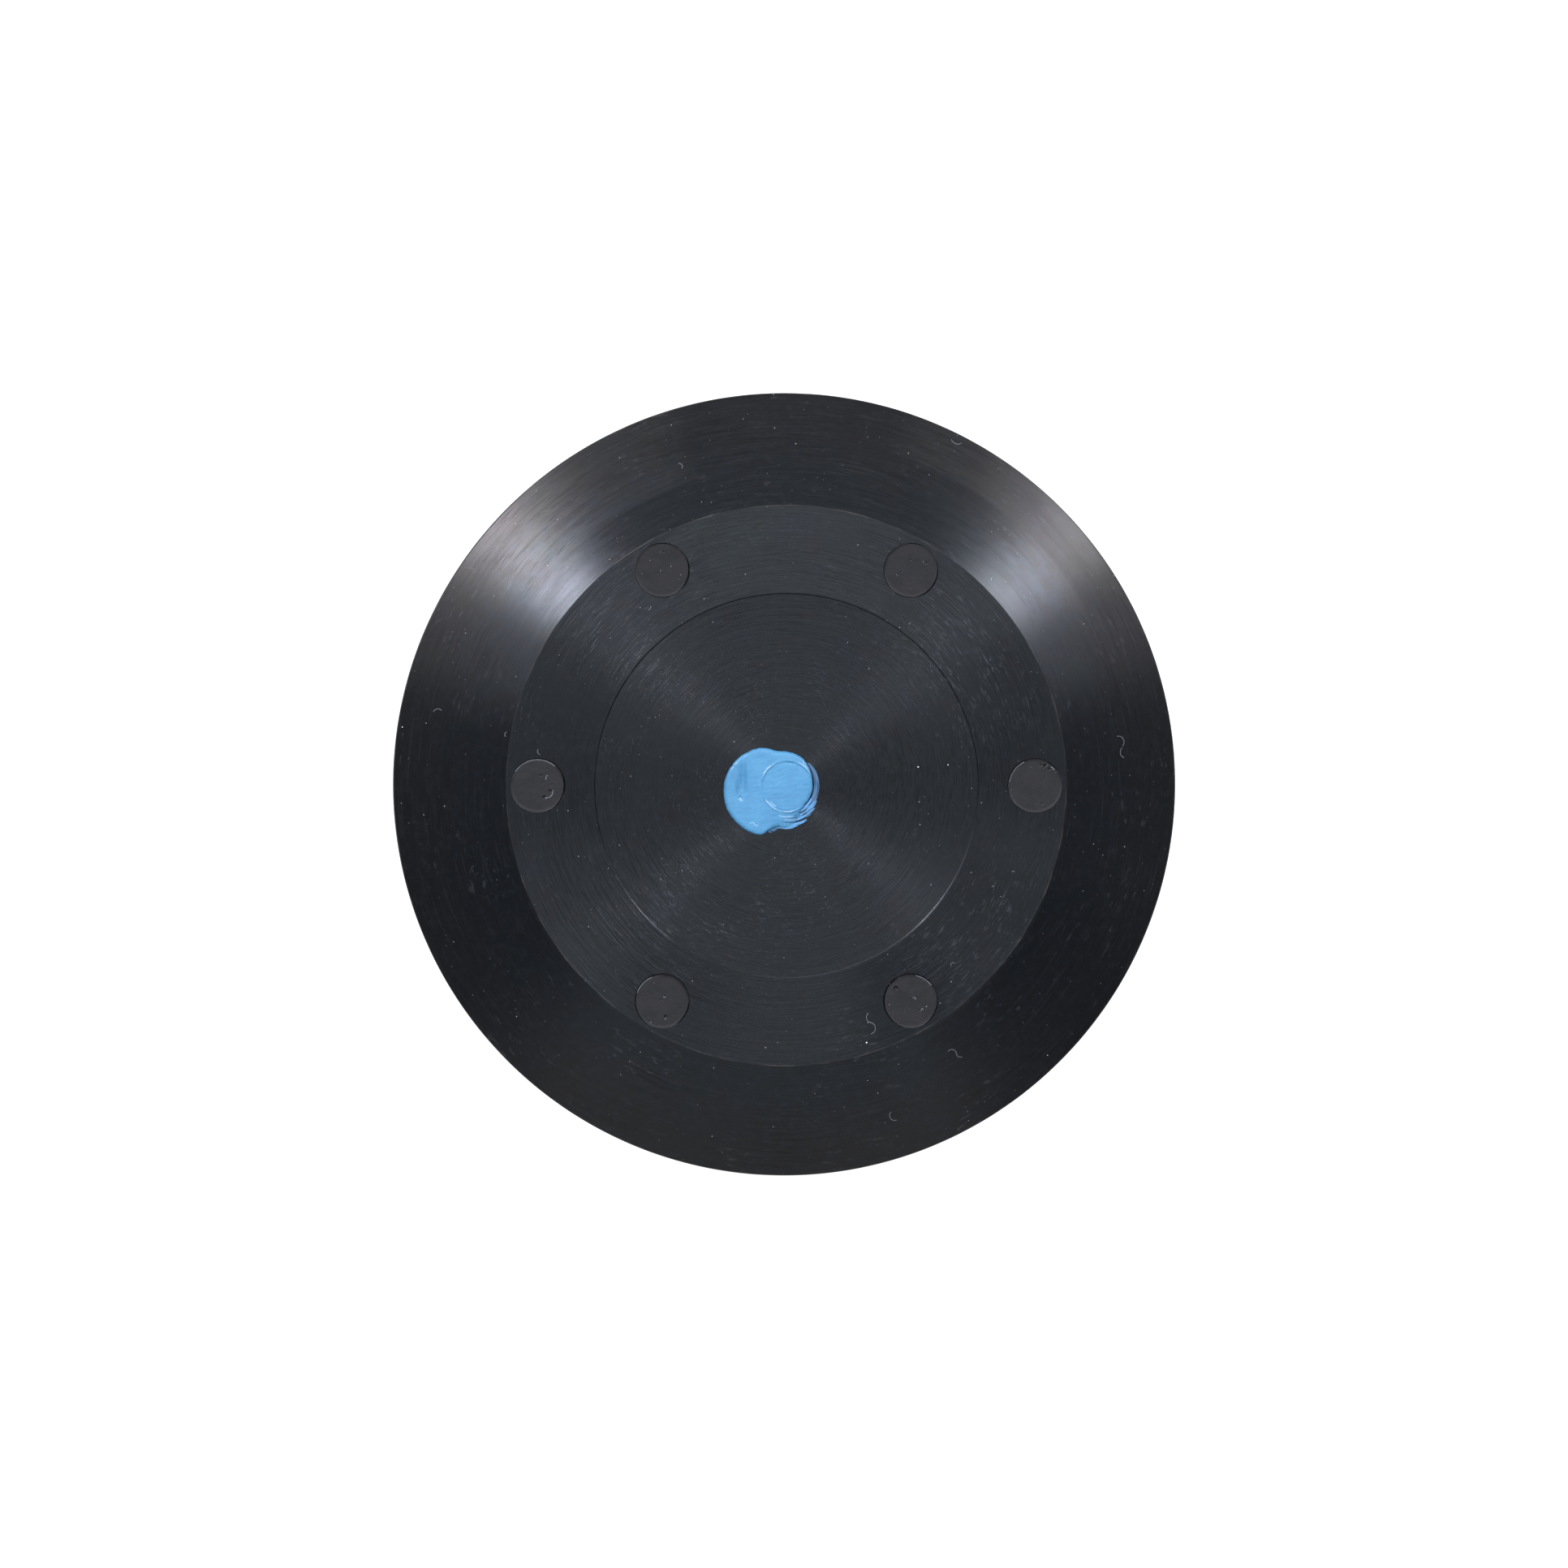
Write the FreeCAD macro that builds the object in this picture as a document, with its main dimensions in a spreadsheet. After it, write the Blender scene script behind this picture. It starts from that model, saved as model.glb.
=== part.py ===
import FreeCAD, Part
import math
import os
import Sketcher

"""Round air stone: a clamped stack of cap, porous ring and weighted base.

Air comes in by a push-in inlet in the middle of the cap, fills the hollow inside the ring
and leaves through the ring's pores. Six socket screws clamp the stack; their counterbores
are potted. A soft seal closes the inlet until the airline is fitted.

Frame: millimetres, +Z up, origin on the floor under the centre of the cap.
"""

SCREW_COUNT = 6
STEP_ANGLE = 360 / SCREW_COUNT

# Driving dimensions, all in millimetres, with what each one measures.
DIMENSIONS = [
    ("cap_radius", 50.0, "outer radius of the cap's rim"),
    ("flat_radius", 35.7, "radius of the cap's flat top face"),
    ("cone_drop", 6.5, "height of the flat face above the rim"),
    ("flat_fall", 0.25, "how far the face falls between its step and the cone"),
    ("rim_land", 2.5, "height of the cap's upright edge"),
    ("rim_round", 0.3, "rounding of the rim's two edges"),
    ("step_radius", 24.5, "radius of the fine turned step"),
    ("step_depth", 0.1, "depth of the fine turned step"),
    ("spigot_radius", 38.3, "radius of the rings that centre the stone"),
    ("spigot_inner", 36.3, "inner radius of those rings"),
    ("spigot_height", 2.0, "height of those rings"),
    ("stone_outer", 46.0, "outer radius of the stone ring"),
    ("stone_inner", 38.6, "inner radius of the stone ring"),
    ("stone_height", 14.0, "height of the stone ring"),
    ("stone_chamfer", 0.5, "chamfer on the stone's edges"),
    ("gasket_outer", 45.6, "outer radius of the gaskets"),
    ("gasket_thick", 1.0, "thickness of the gaskets"),
    ("base_radius", 48.0, "outer radius of the base"),
    ("base_height", 8.0, "height of the base plate"),
    ("base_chamfer", 2.0, "chamfer round the base's underside"),
    ("base_edge", 0.4, "chamfer round the base's top edge"),
    ("foot_radius", 38.0, "mean radius of the foot ring"),
    ("foot_width", 4.0, "radial width of the foot ring"),
    ("foot_stand", 0.8, "height the foot ring lifts the base"),
    ("foot_groove", 1.5, "depth of the foot ring's groove"),
    ("foot_round", 0.4, "rounding of the foot ring's tread"),
    ("ballast_radius", 25.5, "radius of the ballast disc"),
    ("ballast_thick", 6.0, "thickness of the ballast disc"),
    ("ballast_seat", 3.0, "depth of the ballast's seat in the base"),
    ("ballast_gap", 0.2, "gap round the ballast in its seat"),
    ("ballast_chamfer", 0.5, "chamfer on the ballast's edges"),
    ("bolt_radius", 31.7, "radius of the screws' bolt circle"),
    ("counterbore_radius", 3.45, "radius of the screws' counterbores"),
    ("counterbore_depth", 6.0, "depth of the screws' counterbores"),
    ("shank_radius", 1.5, "radius of the M3 clamp screws"),
    ("shank_length", 16.0, "length of the clamp screws under the head"),
    ("shank_hole", 1.7, "radius of the screws' clearance holes"),
    ("head_radius", 2.75, "radius of the clamp screws' heads"),
    ("head_height", 3.0, "height of the clamp screws' heads"),
    ("head_chamfer", 0.25, "chamfer on the screws' heads and tips"),
    ("socket_flats", 2.5, "hexagon socket across its flats"),
    ("socket_depth", 1.5, "depth of the hexagon socket"),
    ("plug_recess", 0.41, "depth of the potting below the top of the flat face"),
    ("plug_lip", 0.15, "height the potting climbs at its edge"),
    ("plug_lip_width", 0.4, "width of the potting's raised edge"),
    ("cast_gap", 0.01, "gap kept between cast or pressed neighbours"),
    ("post_radius", 4.5, "radius of the base's screw posts"),
    ("post_height", 9.2, "height of the base's screw posts"),
    ("insert_radius", 2.3, "outer radius of the threaded inserts"),
    ("insert_bore", 1.55, "bore radius of the threaded inserts"),
    ("insert_length", 5.7, "length of the threaded inserts"),
    ("insert_waist", 0.3, "depth of the inserts' middle groove"),
    ("insert_hole_depth", 8.0, "depth of the inserts' holes in the posts"),
    ("hub_radius", 8.5, "radius of the boss round the inlet"),
    ("hub_height", 6.0, "height of that boss below the cap"),
    ("mouth_radius", 3.4, "radius of the inlet's mouth"),
    ("mouth_depth", 3.0, "depth of the inlet's mouth below the flat"),
    ("inlet_radius", 3.05, "radius of the airline's push-in bore"),
    ("pocket_radius", 5.0, "radius of the O-ring's pocket"),
    ("pocket_height", 4.0, "height of the O-ring's pocket"),
    ("retainer_height", 2.0, "height of the O-ring's retaining bush"),
    ("retainer_bore", 3.15, "bore radius of the retaining bush"),
    ("ring_section", 0.96, "section radius of the inlet's O-ring"),
    ("weight_screw_radius", 2.0, "radius of the ballast screw"),
    ("weight_screw_length", 9.5, "length of the ballast screw"),
    ("weight_head_radius", 4.0, "radius of the ballast screw's head"),
    ("weight_head_height", 2.4, "height of the ballast screw's head"),
    ("weight_hole", 2.25, "radius of the ballast's screw hole"),
    ("pilot_radius", 2.05, "radius of the base's threaded hole"),
    ("pilot_depth", 4.0, "depth of that hole below the ballast"),
    ("seal_stem_radius", 3.2, "radius of the seal's stem"),
    ("seal_stem_gap", 0.2, "gap left under the seal's stem"),
    ("seal_flange_radius", 5.8, "radius of the seal's flange"),
    ("seal_flange_thick", 0.5, "thickness of the seal's flange"),
    ("seal_shift_x", 1.9, "shift of the flange to -X of the inlet"),
    ("seal_shift_y", 0.7, "shift of the flange to -Y of the inlet"),
    ("seal_dish_radius", 2.9, "radius of the dish in the seal's top"),
    ("seal_dish_depth", 0.25, "depth of that dish"),
    ("seal_lift_gap", 0.02, "gap between the flange and the cap"),
]

# Heights above the floor, as expressions of the driving dimensions.
BASE_LOW = "Dims.foot_stand"
BASE_TOP = f"({BASE_LOW} + Dims.base_height)"
STONE_LOW = f"({BASE_TOP} + Dims.gasket_thick)"
STONE_TOP = f"({STONE_LOW} + Dims.stone_height)"
CAP_LOW = f"({STONE_TOP} + Dims.gasket_thick)"
RIM_TOP = f"({CAP_LOW} + Dims.rim_land)"
FLAT_TOP = f"({RIM_TOP} + Dims.cone_drop)"
FLAT_EDGE = f"({FLAT_TOP} - Dims.flat_fall)"
STEP_TOP = f"({FLAT_TOP} - Dims.step_depth)"
HEAD_SEAT = f"({FLAT_TOP} - Dims.counterbore_depth)"
POST_TOP = f"({BASE_TOP} + Dims.post_height)"
BALLAST_LOW = f"({BASE_TOP} - Dims.ballast_seat)"
BALLAST_TOP = f"({BALLAST_LOW} + Dims.ballast_thick)"
HUB_LOW = f"({CAP_LOW} - Dims.hub_height)"
POCKET_TOP = f"({HUB_LOW} + Dims.pocket_height)"
MOUTH_LOW = f"({FLAT_TOP} - Dims.mouth_depth)"
SEAL_LOW = f"({MOUTH_LOW} + Dims.seal_stem_gap)"
FLANGE_LOW = f"({STEP_TOP} + Dims.seal_lift_gap)"
FLANGE_TOP = f"({FLANGE_LOW} + Dims.seal_flange_thick)"

doc = FreeCAD.newDocument("air_stone")
parts = []


def make_sheet():
    """Fill the spreadsheet that drives every size."""
    sheet = doc.addObject("Spreadsheet::Sheet", "Dims")
    for row, (alias, value, meaning) in enumerate(DIMENSIONS, start=1):
        sheet.set(f"A{row}", alias)
        sheet.set(f"B{row}", str(value))
        sheet.set(f"C{row}", meaning)
        sheet.setAlias(f"B{row}", alias)
    doc.recompute()
    return sheet


def value(expression):
    """Evaluate an expression of the driving dimensions, in millimetres."""
    result = doc.getObject("Dims").evalExpression(expression)
    return float(getattr(result, "Value", result))


def new_body(label):
    """Start a sub-part; its label is its node's name."""
    body = doc.addObject("PartDesign::Body", label)
    body.Label = label
    parts.append(body)
    return body


def plane(body, role):
    """One of the body's own origin planes."""
    return next(feature for feature in body.Origin.OriginFeatures if feature.Role == role)


def new_sketch(body, name, role, height="0"):
    """A sketch on an origin plane, raised along the plane's normal by an expression."""
    sketch = body.newObject("Sketcher::SketchObject", name)
    sketch.AttachmentSupport = [(plane(body, role), "")]
    sketch.MapMode = "FlatFace"
    if height != "0":
        sketch.setExpression("AttachmentOffset.Base.z", height)
    return sketch


def pin_point(sketch, edge, end, axis, expression):
    """Fix one coordinate of an edge's end to an expression, or to the axis where it is 0."""
    if expression == "0":
        line = -2 if axis == "x" else -1
        sketch.addConstraint(Sketcher.Constraint("PointOnObject", edge, end, line))
        return
    kind = "DistanceX" if axis == "x" else "DistanceY"
    size = value(expression)
    index = sketch.addConstraint(Sketcher.Constraint(kind, -1, 1, edge, end, size))
    sketch.setExpression(f"Constraints[{index}]", expression)


def outline(sketch, points):
    """Draw a closed outline through (radius, height) expressions and fix every corner."""
    corners = [FreeCAD.Vector(value(x), value(y), 0) for x, y in points]
    count = len(points)
    for index in range(count):
        start = corners[index]
        end = corners[(index + 1) % count]
        sketch.addGeometry(Part.LineSegment(start, end), False)
    for index in range(count):
        following = (index + 1) % count
        sketch.addConstraint(Sketcher.Constraint("Coincident", index, 2, following, 1))
    for index, (x, y) in enumerate(points):
        pin_point(sketch, index, 1, "x", x)
        pin_point(sketch, index, 1, "y", y)


def lathe(body, name, points):
    """Turn an outline about the body's Z axis."""
    sketch = new_sketch(body, name + "_outline", "XZ_Plane")
    outline(sketch, points)
    turned = body.newObject("PartDesign::Revolution", name)
    turned.Profile = sketch
    turned.ReferenceAxis = (sketch, ["V_Axis"])
    turned.Angle = 360
    sketch.Visibility = False
    doc.recompute()
    return turned


def circle(sketch, radius, x="0", y="0"):
    """Add a circle whose centre and radius follow expressions."""
    centre = FreeCAD.Vector(value(x), value(y), 0)
    edge = sketch.addGeometry(Part.Circle(centre, FreeCAD.Vector(0, 0, 1), value(radius)), False)
    pin_point(sketch, edge, 3, "x", x)
    pin_point(sketch, edge, 3, "y", y)
    index = sketch.addConstraint(Sketcher.Constraint("Radius", edge, value(radius)))
    sketch.setExpression(f"Constraints[{index}]", radius)


def hexagon(sketch, flats):
    """Add a regular hexagon, centred on the origin, with its flats a given way apart."""
    half = f"({flats} / 2)"
    corner = f"({flats} / sqrt(3))"
    points = []
    for index in range(6):
        angle = math.radians(60 * index)
        x = f"({corner} * {math.cos(angle):.6f})"
        y = "0" if index % 3 == 0 else (half if index < 3 else f"(-{half})")
        points.append((x, y))
    outline(sketch, points)


def checked_cut(body, make):
    """Make a cutting feature and be sure that it removes material."""
    before = body.Shape.Volume
    feature = make()
    doc.recompute()
    if not body.Shape.Volume < before:
        raise RuntimeError(f"{body.Label}: {feature.Name} cuts nothing")
    return feature


def cut_down(body, name, depth, radius, x="0", height="0"):
    """Cut a round hole down from a height, by a depth."""
    sketch = new_sketch(body, name + "_outline", "XY_Plane", height)
    circle(sketch, radius, x)

    def make():
        pocket = body.newObject("PartDesign::Pocket", name)
        pocket.Profile = sketch
        pocket.Type = "Length"
        pocket.setExpression("Length", depth)
        pocket.Reversed = False
        return pocket

    sketch.Visibility = False
    return checked_cut(body, make)


def round_the_bolt_circle(body, name, feature):
    """Repeat a feature at every screw position."""
    pattern = body.newObject("PartDesign::PolarPattern", name)
    pattern.Originals = [feature]
    pattern.Axis = (plane(body, "Z_Axis"), [""])
    pattern.Angle = 360
    pattern.Occurrences = SCREW_COUNT
    body.Tip = pattern
    doc.recompute()
    return pattern


def soften(body, name, kind, size, wanted):
    """Fillet or chamfer the current solid's edges that pass a test."""
    base = body.Tip
    edges = [f"Edge{i}" for i, edge in enumerate(base.Shape.Edges, start=1) if wanted(edge)]
    feature = body.newObject(f"PartDesign::{kind}", name)
    feature.Base = (base, edges)
    feature.setExpression("Radius" if kind == "Fillet" else "Size", size)
    doc.recompute()
    return feature


def ring_edge(radius, height):
    """Test for a full circular edge of a given radius at a given height."""

    def wanted(edge):
        curve = edge.Curve
        if not isinstance(curve, Part.Circle):
            return False
        same_radius = abs(curve.Radius - value(radius)) < 1e-4
        return same_radius and abs(curve.Center.z - value(height)) < 1e-4

    return wanted


def any_of(*tests):
    """Test that passes when one of several does."""
    return lambda edge: any(test(edge) for test in tests)


def place(part, x="0", y="0", z="0"):
    """Put a sub-part where it belongs, by expressions."""
    for letter, expression in (("x", x), ("y", y), ("z", z)):
        if expression != "0":
            part.setExpression(f"Placement.Base.{letter}", expression)


def place_at_screw(part, number, height):
    """Put a sub-part on the bolt circle; screw 1 is on +X and they count anticlockwise."""
    angle = (number - 1) * STEP_ANGLE
    x = f"Dims.bolt_radius * cos({angle} deg)"
    y = f"Dims.bolt_radius * sin({angle} deg)"
    place(part, x, y, height)


def make_top_cap():
    """Turned cap: flat face with a fine step, conical rim, inlet boss and screw holes."""
    body = new_body("top_cap")
    spigot_low = f"({CAP_LOW} - Dims.spigot_height)"
    lathe(body, "cap_turning", [
        ("0", HUB_LOW),
        ("Dims.hub_radius", HUB_LOW),
        ("Dims.hub_radius", CAP_LOW),
        ("Dims.spigot_inner", CAP_LOW),
        ("Dims.spigot_inner", spigot_low),
        ("Dims.spigot_radius", spigot_low),
        ("Dims.spigot_radius", CAP_LOW),
        ("Dims.cap_radius", CAP_LOW),
        ("Dims.cap_radius", RIM_TOP),
        ("Dims.flat_radius", FLAT_EDGE),
        ("Dims.step_radius", FLAT_TOP),
        ("Dims.step_radius", STEP_TOP),
        ("0", STEP_TOP),
    ])
    rim = any_of(ring_edge("Dims.cap_radius", CAP_LOW), ring_edge("Dims.cap_radius", RIM_TOP))
    soften(body, "rim_rounding", "Fillet", "Dims.rim_round", rim)
    mouth_depth = "(Dims.mouth_depth - Dims.step_depth)"
    cut_down(body, "inlet_mouth", mouth_depth, "Dims.mouth_radius", height=STEP_TOP)
    bore_depth = f"({MOUTH_LOW} - {HUB_LOW})"
    cut_down(body, "inlet_bore", bore_depth, "Dims.inlet_radius", height=MOUTH_LOW)
    cut_down(body, "o_ring_pocket", "Dims.pocket_height", "Dims.pocket_radius", height=POCKET_TOP)
    seat = cut_down(
        body, "counterbore", "Dims.counterbore_depth", "Dims.counterbore_radius",
        x="Dims.bolt_radius", height=FLAT_TOP,
    )
    round_the_bolt_circle(body, "counterbores", seat)
    through = f"({HEAD_SEAT} - {CAP_LOW})"
    hole = cut_down(
        body, "screw_hole", through, "Dims.shank_hole",
        x="Dims.bolt_radius", height=HEAD_SEAT,
    )
    round_the_bolt_circle(body, "screw_holes", hole)


def make_stone_ring():
    """Porous mineral ring that the air leaves through."""
    body = new_body("stone_ring")
    lathe(body, "stone_turning", [
        ("Dims.stone_inner", STONE_LOW),
        ("Dims.stone_outer", STONE_LOW),
        ("Dims.stone_outer", STONE_TOP),
        ("Dims.stone_inner", STONE_TOP),
    ])
    corners = any_of(
        ring_edge("Dims.stone_outer", STONE_LOW),
        ring_edge("Dims.stone_outer", STONE_TOP),
        ring_edge("Dims.stone_inner", STONE_LOW),
        ring_edge("Dims.stone_inner", STONE_TOP),
    )
    soften(body, "stone_edges", "Chamfer", "Dims.stone_chamfer", corners)


def make_gasket(label, low):
    """Flat rubber ring between the stone and one of its clamping faces."""
    body = new_body(label)
    top = f"({low} + Dims.gasket_thick)"
    lathe(body, label + "_cutting", [
        ("Dims.stone_inner", low),
        ("Dims.gasket_outer", low),
        ("Dims.gasket_outer", top),
        ("Dims.stone_inner", top),
    ])


def make_base_plate():
    """Turned base: ballast seat, foot groove, stone spigot and six screw posts."""
    body = new_body("base_plate")
    groove_inner = "(Dims.foot_radius - Dims.foot_width / 2)"
    groove_outer = "(Dims.foot_radius + Dims.foot_width / 2)"
    groove_top = f"({BASE_LOW} + Dims.foot_groove)"
    spigot_top = f"({BASE_TOP} + Dims.spigot_height)"
    seat_radius = "(Dims.ballast_radius + Dims.ballast_gap)"
    lathe(body, "base_turning", [
        ("0", BASE_LOW),
        (groove_inner, BASE_LOW),
        (groove_inner, groove_top),
        (groove_outer, groove_top),
        (groove_outer, BASE_LOW),
        ("(Dims.base_radius - Dims.base_chamfer)", BASE_LOW),
        ("Dims.base_radius", f"({BASE_LOW} + Dims.base_chamfer)"),
        ("Dims.base_radius", f"({BASE_TOP} - Dims.base_edge)"),
        ("(Dims.base_radius - Dims.base_edge)", BASE_TOP),
        ("Dims.spigot_radius", BASE_TOP),
        ("Dims.spigot_radius", spigot_top),
        ("Dims.spigot_inner", spigot_top),
        ("Dims.spigot_inner", BASE_TOP),
        (seat_radius, BASE_TOP),
        (seat_radius, BALLAST_LOW),
        ("0", BALLAST_LOW),
    ])
    sketch = new_sketch(body, "post_outline", "XY_Plane", BASE_TOP)
    circle(sketch, "Dims.post_radius", "Dims.bolt_radius")
    post = body.newObject("PartDesign::Pad", "post")
    post.Profile = sketch
    post.setExpression("Length", "Dims.post_height")
    sketch.Visibility = False
    doc.recompute()
    round_the_bolt_circle(body, "posts", post)
    hole_radius = "(Dims.insert_radius + Dims.cast_gap)"
    hole = cut_down(
        body, "insert_hole", "Dims.insert_hole_depth", hole_radius,
        x="Dims.bolt_radius", height=POST_TOP,
    )
    round_the_bolt_circle(body, "insert_holes", hole)
    cut_down(body, "pilot_hole", "Dims.pilot_depth", "Dims.pilot_radius", height=BALLAST_LOW)


def make_ballast_disc():
    """Stainless weight with a hole for its screw."""
    body = new_body("ballast_disc")
    lathe(body, "ballast_turning", [
        ("Dims.weight_hole", BALLAST_LOW),
        ("Dims.ballast_radius", BALLAST_LOW),
        ("Dims.ballast_radius", BALLAST_TOP),
        ("Dims.weight_hole", BALLAST_TOP),
    ])
    corners = any_of(
        ring_edge("Dims.ballast_radius", BALLAST_LOW),
        ring_edge("Dims.ballast_radius", BALLAST_TOP),
    )
    soften(body, "ballast_edges", "Chamfer", "Dims.ballast_chamfer", corners)


def make_foot_ring():
    """Rubber ring in the base's groove, on which the object stands."""
    body = new_body("foot_ring")
    inner = "(Dims.foot_radius - Dims.foot_width / 2 + Dims.cast_gap)"
    outer = "(Dims.foot_radius + Dims.foot_width / 2 - Dims.cast_gap)"
    top = f"({BASE_LOW} + Dims.foot_groove)"
    lathe(body, "foot_moulding", [
        (f"({inner} + Dims.foot_round)", "0"),
        (f"({outer} - Dims.foot_round)", "0"),
        (outer, "Dims.foot_round"),
        (outer, top),
        (inner, top),
        (inner, "Dims.foot_round"),
    ])


def make_socket_screw(label, sizes):
    """Cap screw with a hexagon socket; its own zero is under the head."""
    body = new_body(label)
    edge = "Dims.head_chamfer"
    lathe(body, label + "_turning", [
        ("0", f"(-{sizes['length']})"),
        (f"({sizes['radius']} - {edge})", f"(-{sizes['length']})"),
        (sizes["radius"], f"({edge} - {sizes['length']})"),
        (sizes["radius"], "0"),
        (sizes["head_radius"], "0"),
        (sizes["head_radius"], f"({sizes['head_height']} - {edge})"),
        (f"({sizes['head_radius']} - {edge})", sizes["head_height"]),
        ("0", sizes["head_height"]),
    ])
    sketch = new_sketch(body, label + "_socket_outline", "XY_Plane", sizes["head_height"])
    hexagon(sketch, "Dims.socket_flats")

    def make():
        pocket = body.newObject("PartDesign::Pocket", label + "_socket")
        pocket.Profile = sketch
        pocket.setExpression("Length", "Dims.socket_depth")
        return pocket

    checked_cut(body, make)
    sketch.Visibility = False
    return body


def make_clamp_screws():
    """Six M3 socket screws, heads in the cap and tips in the base's inserts."""
    sizes = {
        "radius": "Dims.shank_radius",
        "length": "Dims.shank_length",
        "head_radius": "Dims.head_radius",
        "head_height": "Dims.head_height",
    }
    for number in range(1, SCREW_COUNT + 1):
        screw = make_socket_screw(f"clamp_screw_{number}", sizes)
        place_at_screw(screw, number, HEAD_SEAT)


def make_ballast_screw():
    """M4 screw that holds the ballast down."""
    sizes = {
        "radius": "Dims.weight_screw_radius",
        "length": "Dims.weight_screw_length",
        "head_radius": "Dims.weight_head_radius",
        "head_height": "Dims.weight_head_height",
    }
    screw = make_socket_screw("ballast_screw", sizes)
    place(screw, z=BALLAST_TOP)


def make_screw_plug(label):
    """Potting cast over a clamp screw: skirt round the head, core in its socket, dished top."""
    body = new_body(label)
    gap = "Dims.cast_gap"
    wall = f"(Dims.counterbore_radius - {gap})"
    skirt = f"(Dims.head_radius + {gap})"
    over_head = f"(Dims.head_height + {gap})"
    dish = "(Dims.counterbore_depth - Dims.plug_recess)"
    lathe(body, label + "_casting", [
        (skirt, gap),
        (wall, gap),
        (wall, f"({dish} + Dims.plug_lip)"),
        (f"({wall} - Dims.plug_lip_width)", dish),
        ("0", dish),
        ("0", over_head),
        (skirt, over_head),
    ])
    sketch = new_sketch(body, label + "_core_outline", "XY_Plane", over_head)
    hexagon(sketch, f"(Dims.socket_flats - 2 * {gap})")
    core = body.newObject("PartDesign::Pad", label + "_core")
    core.Profile = sketch
    core.Reversed = True
    core.setExpression("Length", "Dims.socket_depth")
    sketch.Visibility = False
    doc.recompute()
    return body


def make_screw_plugs():
    """Six potted counterbores."""
    for number in range(1, SCREW_COUNT + 1):
        plug = make_screw_plug(f"screw_plug_{number}")
        place_at_screw(plug, number, HEAD_SEAT)


def make_threaded_inserts():
    """Six brass inserts with a waist; each one's own zero is its top face."""
    waist = "(Dims.insert_radius - Dims.insert_waist)"
    for number in range(1, SCREW_COUNT + 1):
        label = f"threaded_insert_{number}"
        body = new_body(label)
        lathe(body, label + "_turning", [
            ("Dims.insert_bore", "(-Dims.insert_length)"),
            ("Dims.insert_radius", "(-Dims.insert_length)"),
            ("Dims.insert_radius", "(-0.6 * Dims.insert_length)"),
            (waist, "(-0.6 * Dims.insert_length)"),
            (waist, "(-0.4 * Dims.insert_length)"),
            ("Dims.insert_radius", "(-0.4 * Dims.insert_length)"),
            ("Dims.insert_radius", "0"),
            ("Dims.insert_bore", "0"),
        ])
        place_at_screw(body, number, POST_TOP)


def make_inlet_o_ring():
    """O-ring drawn as it sits round the airline."""
    ring = doc.addObject("Part::Torus", "inlet_o_ring")
    ring.Label = "inlet_o_ring"
    ring.setExpression("Radius1", "Dims.pocket_radius - Dims.cast_gap - Dims.ring_section")
    ring.setExpression("Radius2", "Dims.ring_section")
    place(ring, z=f"{POCKET_TOP} - Dims.cast_gap - Dims.ring_section")
    parts.append(ring)


def make_inlet_retainer():
    """Bush pressed into the pocket under the O-ring."""
    body = new_body("inlet_retainer")
    top = f"({HUB_LOW} + Dims.retainer_height)"
    wall = "(Dims.pocket_radius - Dims.cast_gap)"
    lathe(body, "retainer_turning", [
        ("Dims.retainer_bore", HUB_LOW),
        (wall, HUB_LOW),
        (wall, top),
        ("Dims.retainer_bore", top),
    ])


def make_inlet_seal():
    """Soft seal: a stem in the inlet's mouth and a flange spread to one side of it."""
    body = new_body("inlet_seal")
    lathe(body, "seal_stem", [
        ("0", SEAL_LOW),
        ("Dims.seal_stem_radius", SEAL_LOW),
        ("Dims.seal_stem_radius", FLANGE_TOP),
        ("0", FLANGE_TOP),
    ])
    sketch = new_sketch(body, "seal_flange_outline", "XY_Plane", FLANGE_LOW)
    circle(sketch, "Dims.seal_flange_radius", "(-Dims.seal_shift_x)", "(-Dims.seal_shift_y)")
    flange = body.newObject("PartDesign::Pad", "seal_flange")
    flange.Profile = sketch
    flange.setExpression("Length", "Dims.seal_flange_thick")
    sketch.Visibility = False
    doc.recompute()
    cut_down(body, "seal_dish", "Dims.seal_dish_depth", "Dims.seal_dish_radius", height=FLANGE_TOP)


def check_document():
    """Stop if any object failed or any sub-part is empty or broken."""
    for item in doc.Objects:
        if "Invalid" in item.State or "Error" in item.State:
            raise RuntimeError(f"{item.Label} failed: {item.State}")
    for part in parts:
        shape = part.Shape
        if shape.isNull() or not shape.isValid() or len(shape.Solids) != 1:
            raise RuntimeError(f"{part.Label} is not one sound solid")


def write_parts():
    """Write each sub-part to parts/ under its label."""
    os.makedirs("parts", exist_ok=True)
    for part in parts:
        part.Shape.exportStep(f"parts/{part.Label}.step")
        box = part.Shape.BoundBox
        print(f"{part.Label}: {part.Shape.Volume:.1f} mm3, z {box.ZMin:.2f} to {box.ZMax:.2f}")


make_sheet()
make_top_cap()
make_stone_ring()
make_gasket("upper_gasket", STONE_TOP)
make_gasket("lower_gasket", BASE_TOP)
make_base_plate()
make_ballast_disc()
make_ballast_screw()
make_foot_ring()
make_inlet_o_ring()
make_inlet_retainer()
make_clamp_screws()
make_screw_plugs()
make_threaded_inserts()
make_inlet_seal()
doc.recompute()
check_document()
write_parts()
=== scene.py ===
import math
from collections import namedtuple

import bmesh
import bpy
from mathutils import Matrix, Vector, noise


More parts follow.
